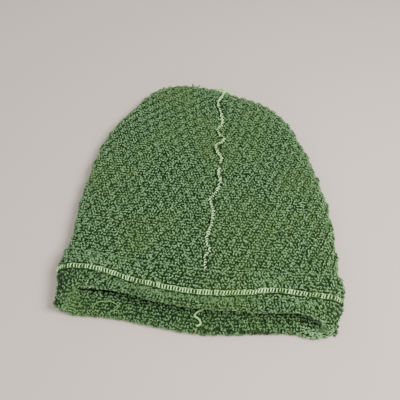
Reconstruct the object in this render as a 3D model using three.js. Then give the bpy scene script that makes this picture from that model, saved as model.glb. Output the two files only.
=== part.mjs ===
// A knitted hat lying flat, made of two crown panels, a turned-up hem band, a serged centre seam that
// stands up as a wavy ridge, a flat stitched strip round the band and the loose end of the back seam.
// Millimetres, +Z up. The open end faces -Y, the crown +Y, and the hat rests on its back layer.
import * as THREE from 'three';

// ---------------------------------------------------------------------------------------------------
// Driving sizes
// ---------------------------------------------------------------------------------------------------
const FABRIC = 3.0;              // thickness of one layer of the knit
const GAP = 0.3;                 // clearance between pieces that touch
const FOLD_REACH = 15;           // width over which a layer rounds down into the folded outline
const SIDE_FALL = 2.5;           // drop of the upper layer from the centre to the side folds

const VALLEY_DEPTH = 1.8;        // how far the centre seam draws the upper layer in
const RECESS_DEPTH = 3.3;        // room that the back seam presses into the lower layer
const VALLEY_REACH = 10;         // half width of both
const SEAM_START = 3;            // clear distance from the band's top edge to the end of the seam

// Distances above the band's top edge between which each change in the layers takes place.
const DRAW_ZONE = { from: 1, to: 14 };      // the centre seam begins to draw the layers in
const LIP_ZONE = { from: -20, to: 25 };     // the raised lip settles into the crown
const BAND_ZONE = { from: 3, to: 22 };      // the lower layer comes down off the band

const RIDGE_HALF_WIDTH = 1.6;    // serged seam allowance
const RIDGE_CREST = 1.0;         // half width of its crest
const RIDGE_HEIGHT = 2.1;
const RIDGE_FOOT_RISE = 0.3;     // how far its outer corners stand above its middle
const RIDGE_CLEARANCE = 0.4;
const RIDGE_STRAIGHTENS = 0.97;  // place up the crown where its bends die out
const RIDGE_FRONT = { steps: 100, bunching: 1.25 };   // rings up the front, where it waves
const RIDGE_BACK = { steps: 26, bunching: 1.8 };      // rings down the back, where it is straight

const INNER_LEAF = 17;           // depth of the band's inner leaf behind the fold
const LEAF_GAP = 0.45;           // clearance between the panels and the end of that leaf
const FOLD_DROP = 0.4;           // clear room between the panels' rim and the inside of the fold
const LEAF_NOSE = 0.8;           // how far the rounded edge of a leaf stands out
const STRIP_HALF_WIDTH = 2.5;    // stitched strip round the band
const STRIP_UNDER = 1.0;         // its thickness where the hat rests on it
const STRIP_OVER = 1.9;          // its thickness on the upper side
const GROOVE_DEPTH = 1.4;        // how far the stitching draws the band in
const GROOVE_FLOOR = 2.9;        // half width of the groove at its floor
const GROOVE_TOP = 3.5;          // half width of the groove at its lips

const TAIL_RADIUS = 0.9;         // loose end of the back seam

const FRONT = 1;
const BACK = -1;
const LEFT = -1;
const RIGHT = 1;

// Rows of the knit from the hem to the top of the crown. Each row runs from the centre seam to the
// side folds; loft is the height of the upper layer there. The first three rows are the panels' rim,
// the stitched strip and the band's top edge, whose places along Y are in the hem's own tables.
const ROWS = [
  { seamX: 4.5, seamY: 17, leftX: -115.5, leftY: 7, rightX: 112.5, rightY: 8, loft: 29.0 },
  { seamX: 4.5, seamY: 23, leftX: -120.5, leftY: 33, rightX: 119.5, rightY: 31, loft: 29.0 },
  { seamX: 4.5, seamY: 43, leftX: -120.3, leftY: 51, rightX: 120.0, rightY: 51, loft: 28.5 },
  { seamX: 4.8, seamY: 72, leftX: -120.5, leftY: 74, rightX: 119.0, rightY: 76, loft: 28.0 },
  { seamX: 5.4, seamY: 98, leftX: -122.3, leftY: 98, rightX: 117.0, rightY: 102, loft: 27.5 },
  { seamX: 6.0, seamY: 124, leftX: -121.5, leftY: 124, rightX: 113.3, rightY: 126, loft: 27.0 },
  { seamX: 6.8, seamY: 150, leftX: -119.5, leftY: 150, rightX: 106.3, rightY: 150, loft: 26.5 },
  { seamX: 6.5, seamY: 176, leftX: -115.0, leftY: 177, rightX: 98.3, rightY: 175, loft: 26.0 },
  { seamX: 4.8, seamY: 200, leftX: -106.0, leftY: 202, rightX: 87.3, rightY: 200, loft: 26.0 },
  { seamX: 3.2, seamY: 221, leftX: -92.5, leftY: 225, rightX: 75.0, rightY: 222, loft: 25.5 },
  { seamX: 2.2, seamY: 237, leftX: -80.5, leftY: 246, rightX: 58.0, rightY: 240, loft: 25.0 },
  { seamX: 2.5, seamY: 248, leftX: -61.0, leftY: 261, rightX: 38.0, rightY: 250, loft: 24.5 },
  { seamX: 3.5, seamY: 255, leftX: -33.0, leftY: 266, rightX: 18.5, rightY: 255.5, loft: 24.0 },
  { seamX: 4.5, seamY: 260.5, leftX: 4.5, leftY: 260.5, rightX: 4.5, rightY: 260.5, loft: 24.0 },
];

// Lines round the hem, all as distances along Y: the outermost line of the fold, the stitched strip
// and the top edge of the band. across runs from the left fold at -1 over the centre seam at 0 to the
// right fold at 1. lift raises the upper lip.
const HEM_FRONT = [
  { across: -1.0, rim: 1.5, strip: 33, top: 51, lift: 0 },
  { across: -0.9, rim: 17, strip: 34.5, top: 50, lift: 1.5 },
  { across: -0.72, rim: 19, strip: 34, top: 47.5, lift: 2.5 },
  { across: -0.5, rim: 16, strip: 28, top: 45, lift: 2 },
  { across: -0.25, rim: 12.5, strip: 24.5, top: 43.5, lift: 0.5 },
  { across: 0.0, rim: 11.5, strip: 23.5, top: 42.5, lift: -0.5 },
  { across: 0.28, rim: 12.5, strip: 26.5, top: 43.5, lift: 0 },
  { across: 0.5, rim: 13.5, strip: 31, top: 45.5, lift: 1 },
  { across: 0.75, rim: 15.5, strip: 30.5, top: 48, lift: 2 },
  { across: 0.92, rim: 11, strip: 31, top: 50, lift: 1 },
  { across: 1.0, rim: 3.5, strip: 31.5, top: 50.6, lift: 0 },
];
const HEM_BACK = [
  { across: -1.0, rim: 1.5, strip: 33, top: 51 },
  { across: -0.9, rim: -0.5, strip: 24, top: 45 },
  { across: -0.72, rim: 0.5, strip: 21, top: 41 },
  { across: -0.5, rim: -0.5, strip: 20, top: 39 },
  { across: -0.25, rim: -3, strip: 18, top: 37 },
  { across: 0.0, rim: -4.5, strip: 17, top: 36 },
  { across: 0.28, rim: -2, strip: 18, top: 37 },
  { across: 0.5, rim: 1, strip: 21, top: 39 },
  { across: 0.75, rim: 3.5, strip: 24, top: 42 },
  { across: 0.92, rim: 2, strip: 26, top: 47 },
  { across: 1.0, rim: 3.5, strip: 31.5, top: 50.6 },
];

// Bends of the serged ridge: how far it leans to the side of the panels' joint at each height.
const BENDS = [
  { along: 40, aside: 0 },
  { along: 46, aside: -0.4 },
  { along: 57, aside: -1.6 },
  { along: 63, aside: 1.6 },
  { along: 70, aside: -2.2 },
  { along: 79, aside: -1.6 },
  { along: 90, aside: 0.3 },
  { along: 104, aside: -0.6 },
  { along: 113, aside: -4.0 },
  { along: 123, aside: 0.7 },
  { along: 135, aside: 3.2 },
  { along: 143, aside: 0.2 },
  { along: 152, aside: 0.8 },
  { along: 163, aside: 1.5 },
  { along: 170, aside: -3.2 },
  { along: 177, aside: -4.8 },
  { along: 186, aside: 3.8 },
  { along: 193, aside: -2.0 },
  { along: 199, aside: -3.2 },
  { along: 205, aside: 1.4 },
  { along: 221, aside: 0 },
  { along: 235, aside: -3.6 },
  { along: 249, aside: 0.8 },
  { along: 262, aside: 0 },
];

// Soft hollows (negative) and swells (positive) of the upper layer.
const DENTS = [
  { x: -62, y: 92, reach: 34, rise: -1.8 },
  { x: -78, y: 165, reach: 30, rise: 1.5 },
  { x: 58, y: 118, reach: 32, rise: 1.6 },
  { x: 66, y: 182, reach: 26, rise: -1.6 },
  { x: -34, y: 214, reach: 28, rise: -1.2 },
];

// Loose end of the back seam on the inner face of the back layer.
const TAIL = [
  { x: 6.0, y: 15.5 },
  { x: 1.0, y: 12.5 },
  { x: -1.0, y: 9.0 },
  { x: 3.0, y: 6.5 },
  { x: 4.6, y: 3.0 },
];

// Places across a panel, from the joint at 0 to the fold at 1, close together where it rounds.
const ACROSS_FRONT = [0, 0.024, 0.05, 0.085, 0.17, 0.29, 0.43, 0.57, 0.7, 0.8, 0.877, 0.924, 0.964, 0.99, 1];
const ACROSS_BACK = [0, 0.024, 0.05, 0.085, 0.25, 0.45, 0.65, 0.8, 0.877, 0.924, 0.964, 0.99, 1];

const KNIT_GREEN = 0x58714d;
const THREAD_GREEN = 0xbdd8a2;

// ---------------------------------------------------------------------------------------------------
// Interpolation
// ---------------------------------------------------------------------------------------------------
const LAST_ROW = ROWS.length - 1;
const STRIP_ROW = 1;
const BAND_TOP_ROW = 2;
const STRIP_PLACE = STRIP_ROW / LAST_ROW;
const BAND_TOP_PLACE = BAND_TOP_ROW / LAST_ROW;
const HEM_FOLD = FABRIC / 2 + GAP + FABRIC;
const PLACE_STRIDE = 0.008;

const smooth = THREE.MathUtils.smoothstep;
const mix = THREE.MathUtils.lerp;

/** Smooth value through evenly spaced rows at place 0..1. */
function throughRows(values, place) {
  const at = THREE.MathUtils.clamp(place, 0, 1) * (values.length - 1);
  const row = Math.min(Math.floor(at), values.length - 2);
  const t = at - row;
  const from = values[row];
  const to = values[row + 1];
  const slopeFrom = row > 0 ? (to - values[row - 1]) / 2 : to - from;
  const slopeTo = row + 2 < values.length ? (values[row + 2] - from) / 2 : to - from;
  return hermite(from, to, slopeFrom, slopeTo, t);
}

function hermite(from, to, slopeFrom, slopeTo, t) {
  const t2 = t * t;
  const t3 = t2 * t;
  const values = (2 * t3 - 3 * t2 + 1) * from + (3 * t2 - 2 * t3) * to;
  return values + (t3 - 2 * t2 + t) * slopeFrom + (t3 - t2) * slopeTo;
}

/** Smooth value of one column of a table at a position given by another column. */
function fromTable(table, key, column, position) {
  let row = table.findIndex((entry) => entry[key] > position) - 1;
  if (row < 0) {
    row = position <= table[0][key] ? 0 : table.length - 2;
  }
  const slope = (i) => {
    const before = table[Math.max(i - 1, 0)];
    const after = table[Math.min(i + 1, table.length - 1)];
    return (after[column] - before[column]) / (after[key] - before[key]);
  };
  const from = table[row];
  const to = table[row + 1];
  const span = to[key] - from[key];
  const t = THREE.MathUtils.clamp((position - from[key]) / span, 0, 1);
  return hermite(from[column], to[column], slope(row) * span, slope(row + 1) * span, t);
}

const column = (name) => ROWS.map((row) => row[name]);
const SEAM_X = column('seamX');
const LOFT = column('loft');
const EDGE_X = { [LEFT]: column('leftX'), [RIGHT]: column('rightX') };
const EDGE_Y = { [LEFT]: column('leftY'), [RIGHT]: column('rightY') };
const SEAM_Y = column('seamY');

// ---------------------------------------------------------------------------------------------------
// The outer face of the crown
// ---------------------------------------------------------------------------------------------------

/** Distance along Y at a place up the crown, w across a panel, on the upper or the lower layer. */
function alongY(side, face, place, w) {
  const across = side * w;
  const table = face === FRONT ? HEM_FRONT : HEM_BACK;
  const hem = [
    fromTable(table, 'across', 'rim', across) + HEM_FOLD + FOLD_DROP,
    fromTable(table, 'across', 'strip', across),
    fromTable(table, 'across', 'top', across),
  ];
  const rows = ROWS.map((row, i) => (i < hem.length ? hem[i] : mix(SEAM_Y[i], EDGE_Y[side][i], w)));
  return throughRows(rows, place);
}

/** Plan position, before the height of the layer is known. */
function planPoint(side, face, place, w) {
  const x = mix(throughRows(SEAM_X, place), throughRows(EDGE_X[side], place), w);
  return new THREE.Vector3(x, alongY(side, face, place, w), 0);
}

/** Lines of the folded outline, carried straight on past the hem. */
function outlineLines() {
  const steps = 90;
  const beyond = 60;
  const points = [];
  for (const side of [LEFT, RIGHT]) {
    const half = [];
    for (let i = 0; i <= steps; i += 1) {
      half.push(planPoint(side, FRONT, i / steps, 1));
    }
    half.unshift(new THREE.Vector3(half[0].x, half[0].y - beyond, 0));
    points.push(...(side === LEFT ? half : half.reverse()));
  }
  return points.slice(1).map((point, i) => new THREE.Line3(points[i], point));
}

const OUTLINE = outlineLines();
const nearest = new THREE.Vector3();

/** 0 on the folded outline, rising as a quarter circle to 1 at FOLD_REACH from it. */
function foldRise(plan) {
  let distance = FOLD_REACH;
  for (const line of OUTLINE) {
    line.closestPointToPoint(plan, true, nearest);
    distance = Math.min(distance, nearest.distanceTo(plan));
  }
  const t = 1 - distance / FOLD_REACH;
  return Math.sqrt(1 - t * t);
}

/** Point on the crown's outer face. */
function crownPoint(side, face, place, w) {
  const point = planPoint(side, face, place, w);
  const loft = throughRows(LOFT, place);
  const rise = w === 1 || place === 1 ? 0 : foldRise(point);
  const pastBand = point.y - alongY(side, face, BAND_TOP_PLACE, w);
  const fromSeam = Math.abs(point.x - throughRows(SEAM_X, place));
  const draw = (1 - smooth(fromSeam, 0, VALLEY_REACH)) * smooth(pastBand, DRAW_ZONE.from, DRAW_ZONE.to);
  const middle = loft / 2;
  if (face === FRONT) {
    const settled = smooth(pastBand, LIP_ZONE.from, LIP_ZONE.to);
    const lip = fromTable(HEM_FRONT, 'across', 'lift', side * w) * (1 - settled);
    let top = loft - SIDE_FALL * w * w + lip - VALLEY_DEPTH * draw;
    for (const dent of DENTS) {
      const away = Math.hypot(point.x - dent.x, point.y - dent.y) / dent.reach;
      top += dent.rise * Math.exp(-away * away);
    }
    point.z = middle + (top - middle) * rise;
  } else {
    const band = (FABRIC + GAP) * (1 - smooth(pastBand, BAND_ZONE.from, BAND_ZONE.to));
    const bottom = Math.max(band, RECESS_DEPTH * draw);
    point.z = middle - (middle - bottom) * rise;
  }
  return point;
}

// ---------------------------------------------------------------------------------------------------
// Sheets of points and closed bodies
// ---------------------------------------------------------------------------------------------------

/** Unit vector along a line of points at one of them, halving the angle between its neighbours. */
function alongLine(before, point, after) {
  const direction = new THREE.Vector3();
  if (before && before.distanceTo(point) > 1e-6) {
    direction.add(point.clone().sub(before).normalize());
  }
  if (after && after.distanceTo(point) > 1e-6) {
    direction.add(after.clone().sub(point).normalize());
  }
  return direction.normalize();
}

/** Closed body from its vertices and faces. */
function closedMesh(name, points, faces, color) {
  const geometry = new THREE.BufferGeometry();
  const coordinates = points.flatMap((p) => [p.x, p.y, p.z]);
  geometry.setAttribute('position', new THREE.Float32BufferAttribute(coordinates, 3));
  geometry.setIndex(faces.flat());
  geometry.computeVertexNormals();
  const material = new THREE.MeshStandardMaterial({ color, roughness: 0.95, metalness: 0 });
  const mesh = new THREE.Mesh(geometry, material);
  mesh.name = name;
  return mesh;
}

/** Two triangles on four corners, left out where corners coincide. */
function quad(faces, a, b, c, d) {
  if (a !== b && b !== c && c !== a) {
    faces.push([a, b, c]);
  }
  if (a !== c && c !== d && d !== a) {
    faces.push([a, c, d]);
  }
}

/** Body lofted through rings of points, either closed on itself or capped at both ends. */
function loftRings(name, rings, color, closed) {
  const count = rings[0].length;
  const points = rings.flat();
  const faces = [];
  const last = closed ? rings.length : rings.length - 1;
  for (let i = 0; i < last; i += 1) {
    const next = (i + 1) % rings.length;
    for (let j = 0; j < count; j += 1) {
      const k = (j + 1) % count;
      quad(faces, i * count + j, i * count + k, next * count + k, next * count + j);
    }
  }
  if (!closed) {
    for (let j = 1; j < count - 1; j += 1) {
      faces.push([0, j + 1, j]);
      const end = (rings.length - 1) * count;
      faces.push([end, end + j, end + j + 1]);
    }
  }
  return closedMesh(name, points, faces, color);
}

// ---------------------------------------------------------------------------------------------------
// Crown panels
// ---------------------------------------------------------------------------------------------------

/** Stations round one side: over the front from the joint to the fold, and along the back again. */
function sideStations(side) {
  const front = ACROSS_FRONT.map((w) => ({ side, face: FRONT, w }));
  const back = ACROSS_BACK.slice(0, -1).reverse().map((w) => ({ side, face: BACK, w }));
  return [...front, ...back];
}

/** Places up the crown, the rows and half-way between them. */
function crownPlaces() {
  const steps = LAST_ROW * 2;
  return Array.from({ length: steps + 1 }, (_, i) => i / steps);
}

/** One half of the crown: a sheet of the knit from joint to joint, closed to a point at the top. */
function crownPanel(name, side) {
  const stations = sideStations(side);
  const places = crownPlaces();
  const outer = places.map((place) => stations.map((s) => {
    const point = crownPoint(s.side, s.face, place, s.w);
    point.x += side * (GAP / 2) * (1 - s.w);
    return point;
  }));
  const top = outer[places.length - 1][0].clone();
  top.x = throughRows(SEAM_X, 1) + side * (GAP / 2);
  outer[places.length - 1] = stations.map(() => top);

  const inner = outer.map((row, i) => row.map((point, j) => {
    if (i === places.length - 1) {
      return new THREE.Vector3(point.x, point.y - FABRIC, point.z);
    }
    const round = alongLine(row[j - 1], point, row[j + 1]);
    const up = alongLine(i > 0 ? outer[i - 1][j] : null, point, outer[i + 1][j]);
    const inward = round.cross(up).multiplyScalar(side).negate();
    if (j === 0 || j === row.length - 1) {
      inward.x = 0;
    }
    const moved = point.clone().addScaledVector(inward.normalize(), FABRIC);
    moved.x = side * Math.max(side * moved.x, side * row[0].x);
    return moved;
  }));

  const columns = stations.length;
  const tip = places.length - 1;
  const points = [...outer.slice(0, tip).flat(), top, ...inner.slice(0, tip).flat(), inner[tip][0]];
  const skin = tip * columns + 1;
  const at = (layer, i, j) => layer * skin + (i === tip ? tip * columns : i * columns + j);
  const faces = [];
  const face = (a, b, c, d) => (side === RIGHT ? quad(faces, a, b, c, d) : quad(faces, d, c, b, a));
  for (let i = 0; i < tip; i += 1) {
    for (let j = 0; j < columns - 1; j += 1) {
      face(at(0, i, j), at(0, i, j + 1), at(0, i + 1, j + 1), at(0, i + 1, j));
      face(at(1, i, j + 1), at(1, i, j), at(1, i + 1, j), at(1, i + 1, j + 1));
    }
    face(at(1, i, 0), at(0, i, 0), at(0, i + 1, 0), at(1, i + 1, 0));
    face(at(0, i, columns - 1), at(1, i, columns - 1), at(1, i + 1, columns - 1), at(0, i + 1, columns - 1));
  }
  for (let j = 0; j < columns - 1; j += 1) {
    face(at(1, 0, j), at(1, 0, j + 1), at(0, 0, j + 1), at(0, 0, j));
  }
  return closedMesh(name, points, faces, KNIT_GREEN);
}

// ---------------------------------------------------------------------------------------------------
// Pieces that go round the hem
// ---------------------------------------------------------------------------------------------------

/** Stations all the way round the hem, starting at the front seam and going over the right fold. */
function hemStations() {
  const right = sideStations(RIGHT);
  const left = sideStations(LEFT).reverse();
  return [...right, ...left.slice(1, -1)];
}

/** Outer face of the crown round the hem at a place that may differ from station to station. */
function hemLine(stations, placeOf) {
  return stations.map((s) => crownPoint(s.side, s.face, placeOf(s), s.w));
}

/** Place up the crown at a distance in millimetres from another place, walked in short steps. */
function placeAway(station, place, distance) {
  const stride = Math.sign(distance) * PLACE_STRIDE;
  let here = crownPoint(station.side, station.face, place, station.w);
  let at = place;
  let left = Math.abs(distance);
  while (left > 0) {
    const there = crownPoint(station.side, station.face, at + stride, station.w);
    const length = here.distanceTo(there);
    at += stride * Math.min(1, left / length);
    left -= length;
    here = there;
  }
  return at;
}

/** Frames round the hem: the point, the way up the crown and the way out of the fabric. */
function hemFrames(stations, placeOf) {
  const probe = 0.004;
  const line = hemLine(stations, placeOf);
  const above = hemLine(stations, (s) => placeOf(s) + probe);
  return line.map((point, j) => {
    const before = line[(j + line.length - 1) % line.length];
    const after = line[(j + 1) % line.length];
    const round = alongLine(before, point, after);
    const up = above[j].clone().sub(point).normalize();
    const out = round.clone().cross(up).normalize();
    return { point, up, out };
  });
}

/** Ring of points round the hem, moved up the crown and out of the fabric. */
function hemRing(frames, rise, out) {
  return frames.map((frame) => {
    const offset = typeof out === 'function' ? out(frame) : out;
    return frame.point.clone().addScaledVector(frame.up, rise).addScaledVector(frame.out, offset);
  });
}

/** Turned-up band: outer leaf, fold below the panels' rim and a short inner leaf. */
function hemBand() {
  const stations = hemStations();
  const framesAt = (place, distance) => hemFrames(stations, (s) => placeAway(s, place, distance));
  const rim = framesAt(0, 0);
  const top = framesAt(BAND_TOP_PLACE, 0);
  const near = GAP;
  const far = GAP + FABRIC;
  const rings = [];

  rings.push(hemRing(top, 0, near));
  rings.push(hemRing(top, LEAF_NOSE, (near + far) / 2));
  rings.push(hemRing(top, 0, far));
  rings.push(hemRing(framesAt((STRIP_PLACE + BAND_TOP_PLACE) / 2, 0), 0, far));
  rings.push(hemRing(framesAt(STRIP_PLACE, GROOVE_TOP), 0, far));
  rings.push(hemRing(framesAt(STRIP_PLACE, GROOVE_FLOOR), 0, far - GROOVE_DEPTH));
  rings.push(hemRing(framesAt(STRIP_PLACE, -GROOVE_FLOOR), 0, far - GROOVE_DEPTH));
  rings.push(hemRing(framesAt(STRIP_PLACE, -GROOVE_TOP), 0, far));

  const middle = -FABRIC / 2;
  const outerSteps = 6;
  for (let i = 0; i <= outerSteps; i += 1) {
    const angle = Math.PI * (0.5 - i / outerSteps);
    const drop = FOLD_DROP + HEM_FOLD * Math.cos(angle);
    rings.push(hemRing(rim, -drop, middle + HEM_FOLD * Math.sin(angle)));
  }
  const leafEnd = framesAt(0, INNER_LEAF);
  const leafOuter = -FABRIC - LEAF_GAP;
  rings.push(hemRing(leafEnd, 0, leafOuter - FABRIC));
  rings.push(hemRing(leafEnd, LEAF_NOSE, leafOuter - FABRIC / 2));
  rings.push(hemRing(leafEnd, 0, leafOuter));
  rings.push(hemRing(framesAt(0, INNER_LEAF / 2), 0, leafOuter));

  const innerRadius = FABRIC / 2 + GAP;
  const innerSteps = 3;
  for (let i = 0; i <= innerSteps; i += 1) {
    const angle = Math.PI * (i / innerSteps - 0.5);
    const drop = FOLD_DROP + innerRadius * Math.cos(angle);
    rings.push(hemRing(rim, -drop, middle + innerRadius * Math.sin(angle)));
  }
  rings.push(hemRing(framesAt(STRIP_PLACE / 2, 0), 0, near));
  rings.push(hemRing(framesAt(STRIP_PLACE, 0), 0, near));
  rings.push(hemRing(framesAt((STRIP_PLACE + BAND_TOP_PLACE) / 2, 0), 0, near));

  const profiles = stations.map((_, j) => rings.map((ring) => ring[j]));
  return loftRings('hem_band', profiles, KNIT_GREEN, true);
}

/** Stitched strip lying in the groove round the band, thinner underneath where the hat rests. */
function hemOverlock() {
  const stations = hemStations();
  const floor = 2 * GAP + FABRIC - GROOVE_DEPTH;
  const thickness = (frame) => mix(STRIP_UNDER, STRIP_OVER, smooth(frame.out.z, -0.6, 0.8));
  const shoulder = 0.6;
  const section = [
    { away: -STRIP_HALF_WIDTH, share: 0 },
    { away: -STRIP_HALF_WIDTH, share: shoulder },
    { away: -STRIP_HALF_WIDTH / 2, share: 1 },
    { away: STRIP_HALF_WIDTH / 2, share: 1 },
    { away: STRIP_HALF_WIDTH, share: shoulder },
    { away: STRIP_HALF_WIDTH, share: 0 },
  ];
  const rings = section.map(({ away, share }) => {
    const frames = hemFrames(stations, (s) => placeAway(s, STRIP_PLACE, away));
    return hemRing(frames, 0, (frame) => floor + share * thickness(frame));
  });
  const profiles = stations.map((_, j) => rings.map((ring) => ring[j]));
  return loftRings('hem_overlock', profiles.reverse(), THREAD_GREEN, true);
}

// ---------------------------------------------------------------------------------------------------
// Seams
// ---------------------------------------------------------------------------------------------------

/** Point on the crown's outer face at a distance to the side of the joint. */
function besideJoint(face, place, aside) {
  const side = aside < 0 ? LEFT : RIGHT;
  const span = throughRows(EDGE_X[side], place) - throughRows(SEAM_X, place);
  const w = Math.abs(span) < 1e-6 ? 0 : Math.min(aside / span, 1);
  return crownPoint(side, face, place, w);
}

/** Middle line of the serged ridge, up the front, over the top and down the back. */
function ridgeLine() {
  const start = placeAway({ side: RIGHT, face: FRONT, w: 0 }, BAND_TOP_PLACE, SEAM_START);
  const line = [];
  for (let i = 0; i < RIDGE_FRONT.steps; i += 1) {
    const place = mix(start, 1, 1 - (1 - i / RIDGE_FRONT.steps) ** RIDGE_FRONT.bunching);
    const y = alongY(RIGHT, FRONT, place, 0);
    const aside = fromTable(BENDS, 'along', 'aside', y) * (1 - smooth(place, RIDGE_STRAIGHTENS, 1));
    line.push({ face: FRONT, place, aside });
  }
  line.push({ face: FRONT, place: 1, aside: 0 });
  for (let i = 1; i <= RIDGE_BACK.steps; i += 1) {
    const place = mix(1, start, (i / RIDGE_BACK.steps) ** RIDGE_BACK.bunching);
    line.push({ face: BACK, place, aside: 0 });
  }
  return line;
}

/** Serged seam allowance: a low ridge that follows the panels' joint and waves over the front. */
function crownSeam() {
  const line = ridgeLine();
  const points = line.map((s) => besideJoint(s.face, s.place, s.aside));
  const section = [
    { aside: -RIDGE_HALF_WIDTH, height: RIDGE_FOOT_RISE },
    { aside: 0, height: 0 },
    { aside: RIDGE_HALF_WIDTH, height: RIDGE_FOOT_RISE },
    { aside: RIDGE_CREST, height: RIDGE_HEIGHT },
    { aside: -RIDGE_CREST, height: RIDGE_HEIGHT },
  ];
  const rings = points.map((point, i) => {
    const along = alongLine(points[i - 1], point, points[i + 1]);
    const across = new THREE.Vector3(1, 0, 0).addScaledVector(along, -along.x).normalize();
    const out = across.clone().cross(along).normalize();
    return section.toReversed().map(({ aside, height }) => (
      point.clone().addScaledVector(across, aside).addScaledVector(out, RIDGE_CLEARANCE + height)
    ));
  });
  return loftRings('crown_seam', rings, THREAD_GREEN, false);
}

/** Loose end of the back seam: a thin cord lying in an S on the inner face of the back layer. */
function seamTail() {
  const innerFace = 3 * FABRIC + 2 * GAP;
  const height = innerFace + GAP + TAIL_RADIUS;
  const route = new THREE.CatmullRomCurve3(TAIL.map(({ x, y }) => new THREE.Vector3(x, y, height)));
  const section = new THREE.Shape();
  const sides = 8;
  for (let i = 0; i < sides; i += 1) {
    const angle = (2 * Math.PI * i) / sides;
    const corner = [TAIL_RADIUS * Math.cos(angle), TAIL_RADIUS * Math.sin(angle)];
    if (i === 0) {
      section.moveTo(...corner);
    } else {
      section.lineTo(...corner);
    }
  }
  section.closePath();
  const geometry = new THREE.ExtrudeGeometry(section, {
    steps: 16,
    extrudePath: route,
    bevelEnabled: false,
  });
  const material = new THREE.MeshStandardMaterial({ color: THREAD_GREEN, roughness: 0.95, metalness: 0 });
  const mesh = new THREE.Mesh(geometry, material);
  mesh.name = 'seam_tail';
  return mesh;
}

// ---------------------------------------------------------------------------------------------------
// The hat, with the middle of its resting face at the origin
// ---------------------------------------------------------------------------------------------------
const hat = new THREE.Group();
hat.name = 'knit_hat';
hat.add(
  crownPanel('crown_left', LEFT),
  crownPanel('crown_right', RIGHT),
  hemBand(),
  hemOverlock(),
  crownSeam(),
  seamTail(),
);

const box = new THREE.Box3().setFromObject(hat);
const middle = box.getCenter(new THREE.Vector3());
for (const piece of hat.children) {
  piece.geometry.translate(-middle.x, -middle.y, -box.min.z);
}

export default hat;
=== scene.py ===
"""A textured knit hat lying flat: puffed crown panels, turned-up hem, overlocked strip and serged seam.

Sizes are in millimetres in the tables and dataclasses below, and every mesh is turned into metres in the
row's frame when it is made. The open end faces -Y, the crown +Y, and the hat rests on its back layer.
"""
import logging
import math
from dataclasses import dataclass, fields
from enum import Enum

import bmesh
import bpy
import numpy as np
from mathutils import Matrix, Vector


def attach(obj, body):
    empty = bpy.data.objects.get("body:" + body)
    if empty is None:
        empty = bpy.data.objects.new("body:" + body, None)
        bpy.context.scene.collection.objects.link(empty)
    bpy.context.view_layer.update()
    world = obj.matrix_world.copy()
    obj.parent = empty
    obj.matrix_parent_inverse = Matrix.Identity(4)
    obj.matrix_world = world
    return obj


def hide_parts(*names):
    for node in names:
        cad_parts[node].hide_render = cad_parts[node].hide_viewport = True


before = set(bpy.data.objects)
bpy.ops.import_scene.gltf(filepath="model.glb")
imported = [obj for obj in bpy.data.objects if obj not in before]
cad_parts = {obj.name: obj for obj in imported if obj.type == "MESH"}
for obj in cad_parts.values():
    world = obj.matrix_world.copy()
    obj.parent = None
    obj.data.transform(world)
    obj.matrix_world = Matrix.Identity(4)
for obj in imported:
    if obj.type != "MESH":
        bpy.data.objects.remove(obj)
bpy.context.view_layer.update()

Array = np.ndarray
Material = bpy.types.Material
Piece = bpy.types.Object
Socket = bpy.types.NodeSocket
Colour = tuple[float, float, float, float]
Span = tuple[float, float]
Vec = tuple[float, float, float]

LOG = logging.getLogger("knit_hat")
MM = 0.001
# Guards against division by nothing, and the least step along the crown.
TINY, NIL, NUDGE = 1e-6, 1e-9, 1e-3
# Crest value that leaves the tone as it is, how much strands vary in size, and where faces turn down.
LEVEL_CREST = 0.6
SIZE_RANGE = (0.92, 1.08)
FACING_DOWN = (0.2, 0.9)


class Side(Enum):
    """The two halves of the crown."""

    LEFT = -1
    RIGHT = 1


class Layer(Enum):
    """The two layers of the folded hat."""

    UPPER = 1
    LOWER = -1


class Face(Enum):
    """Face of the fabric: outside the hat or inside it."""

    OUTER = 0
    INNER = 1


# ---- The form of the hat, as in the solids ----


@dataclass(frozen=True)
class Row:
    """One row of the knit, from the centre seam to the side folds."""

    seam_x: float
    seam_y: float
    left_x: float
    left_y: float
    right_x: float
    right_y: float
    loft: float


@dataclass(frozen=True)
class HemLine:
    """Lines round the hem at one place across it: fold, stitched strip and top edge, along Y."""

    across: float
    rim: float
    strip: float
    top: float
    lift: float = 0.0


@dataclass(frozen=True)
class Bend:
    """How far the serged ridge leans aside at one height."""

    along: float
    aside: float


@dataclass(frozen=True)
class Turn:
    """A point that a thread passes."""

    x: float
    y: float
    z: float


@dataclass(frozen=True)
class Dent:
    """A soft hollow or swell of the upper layer."""

    x: float
    y: float
    reach: float
    rise: float


ROWS = (
    Row(4.5, 17, -115.5, 7, 112.5, 8, 29.0),
    Row(4.5, 23, -120.5, 33, 119.5, 31, 29.0),
    Row(4.5, 43, -120.3, 51, 120.0, 51, 28.5),
    Row(4.8, 72, -120.5, 74, 119.0, 76, 28.0),
    Row(5.4, 98, -122.3, 98, 117.0, 102, 27.5),
    Row(6.0, 124, -121.5, 124, 113.3, 126, 27.0),
    Row(6.8, 150, -119.5, 150, 106.3, 150, 26.5),
    Row(6.5, 176, -115.0, 177, 98.3, 175, 26.0),
    Row(4.8, 200, -106.0, 202, 87.3, 200, 26.0),
    Row(3.2, 221, -92.5, 225, 75.0, 222, 25.5),
    Row(2.2, 237, -80.5, 246, 58.0, 240, 25.0),
    Row(2.5, 248, -61.0, 261, 38.0, 250, 24.5),
    Row(3.5, 255, -33.0, 266, 18.5, 255.5, 24.0),
    Row(4.5, 260.5, 4.5, 260.5, 4.5, 260.5, 24.0),
)
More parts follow.
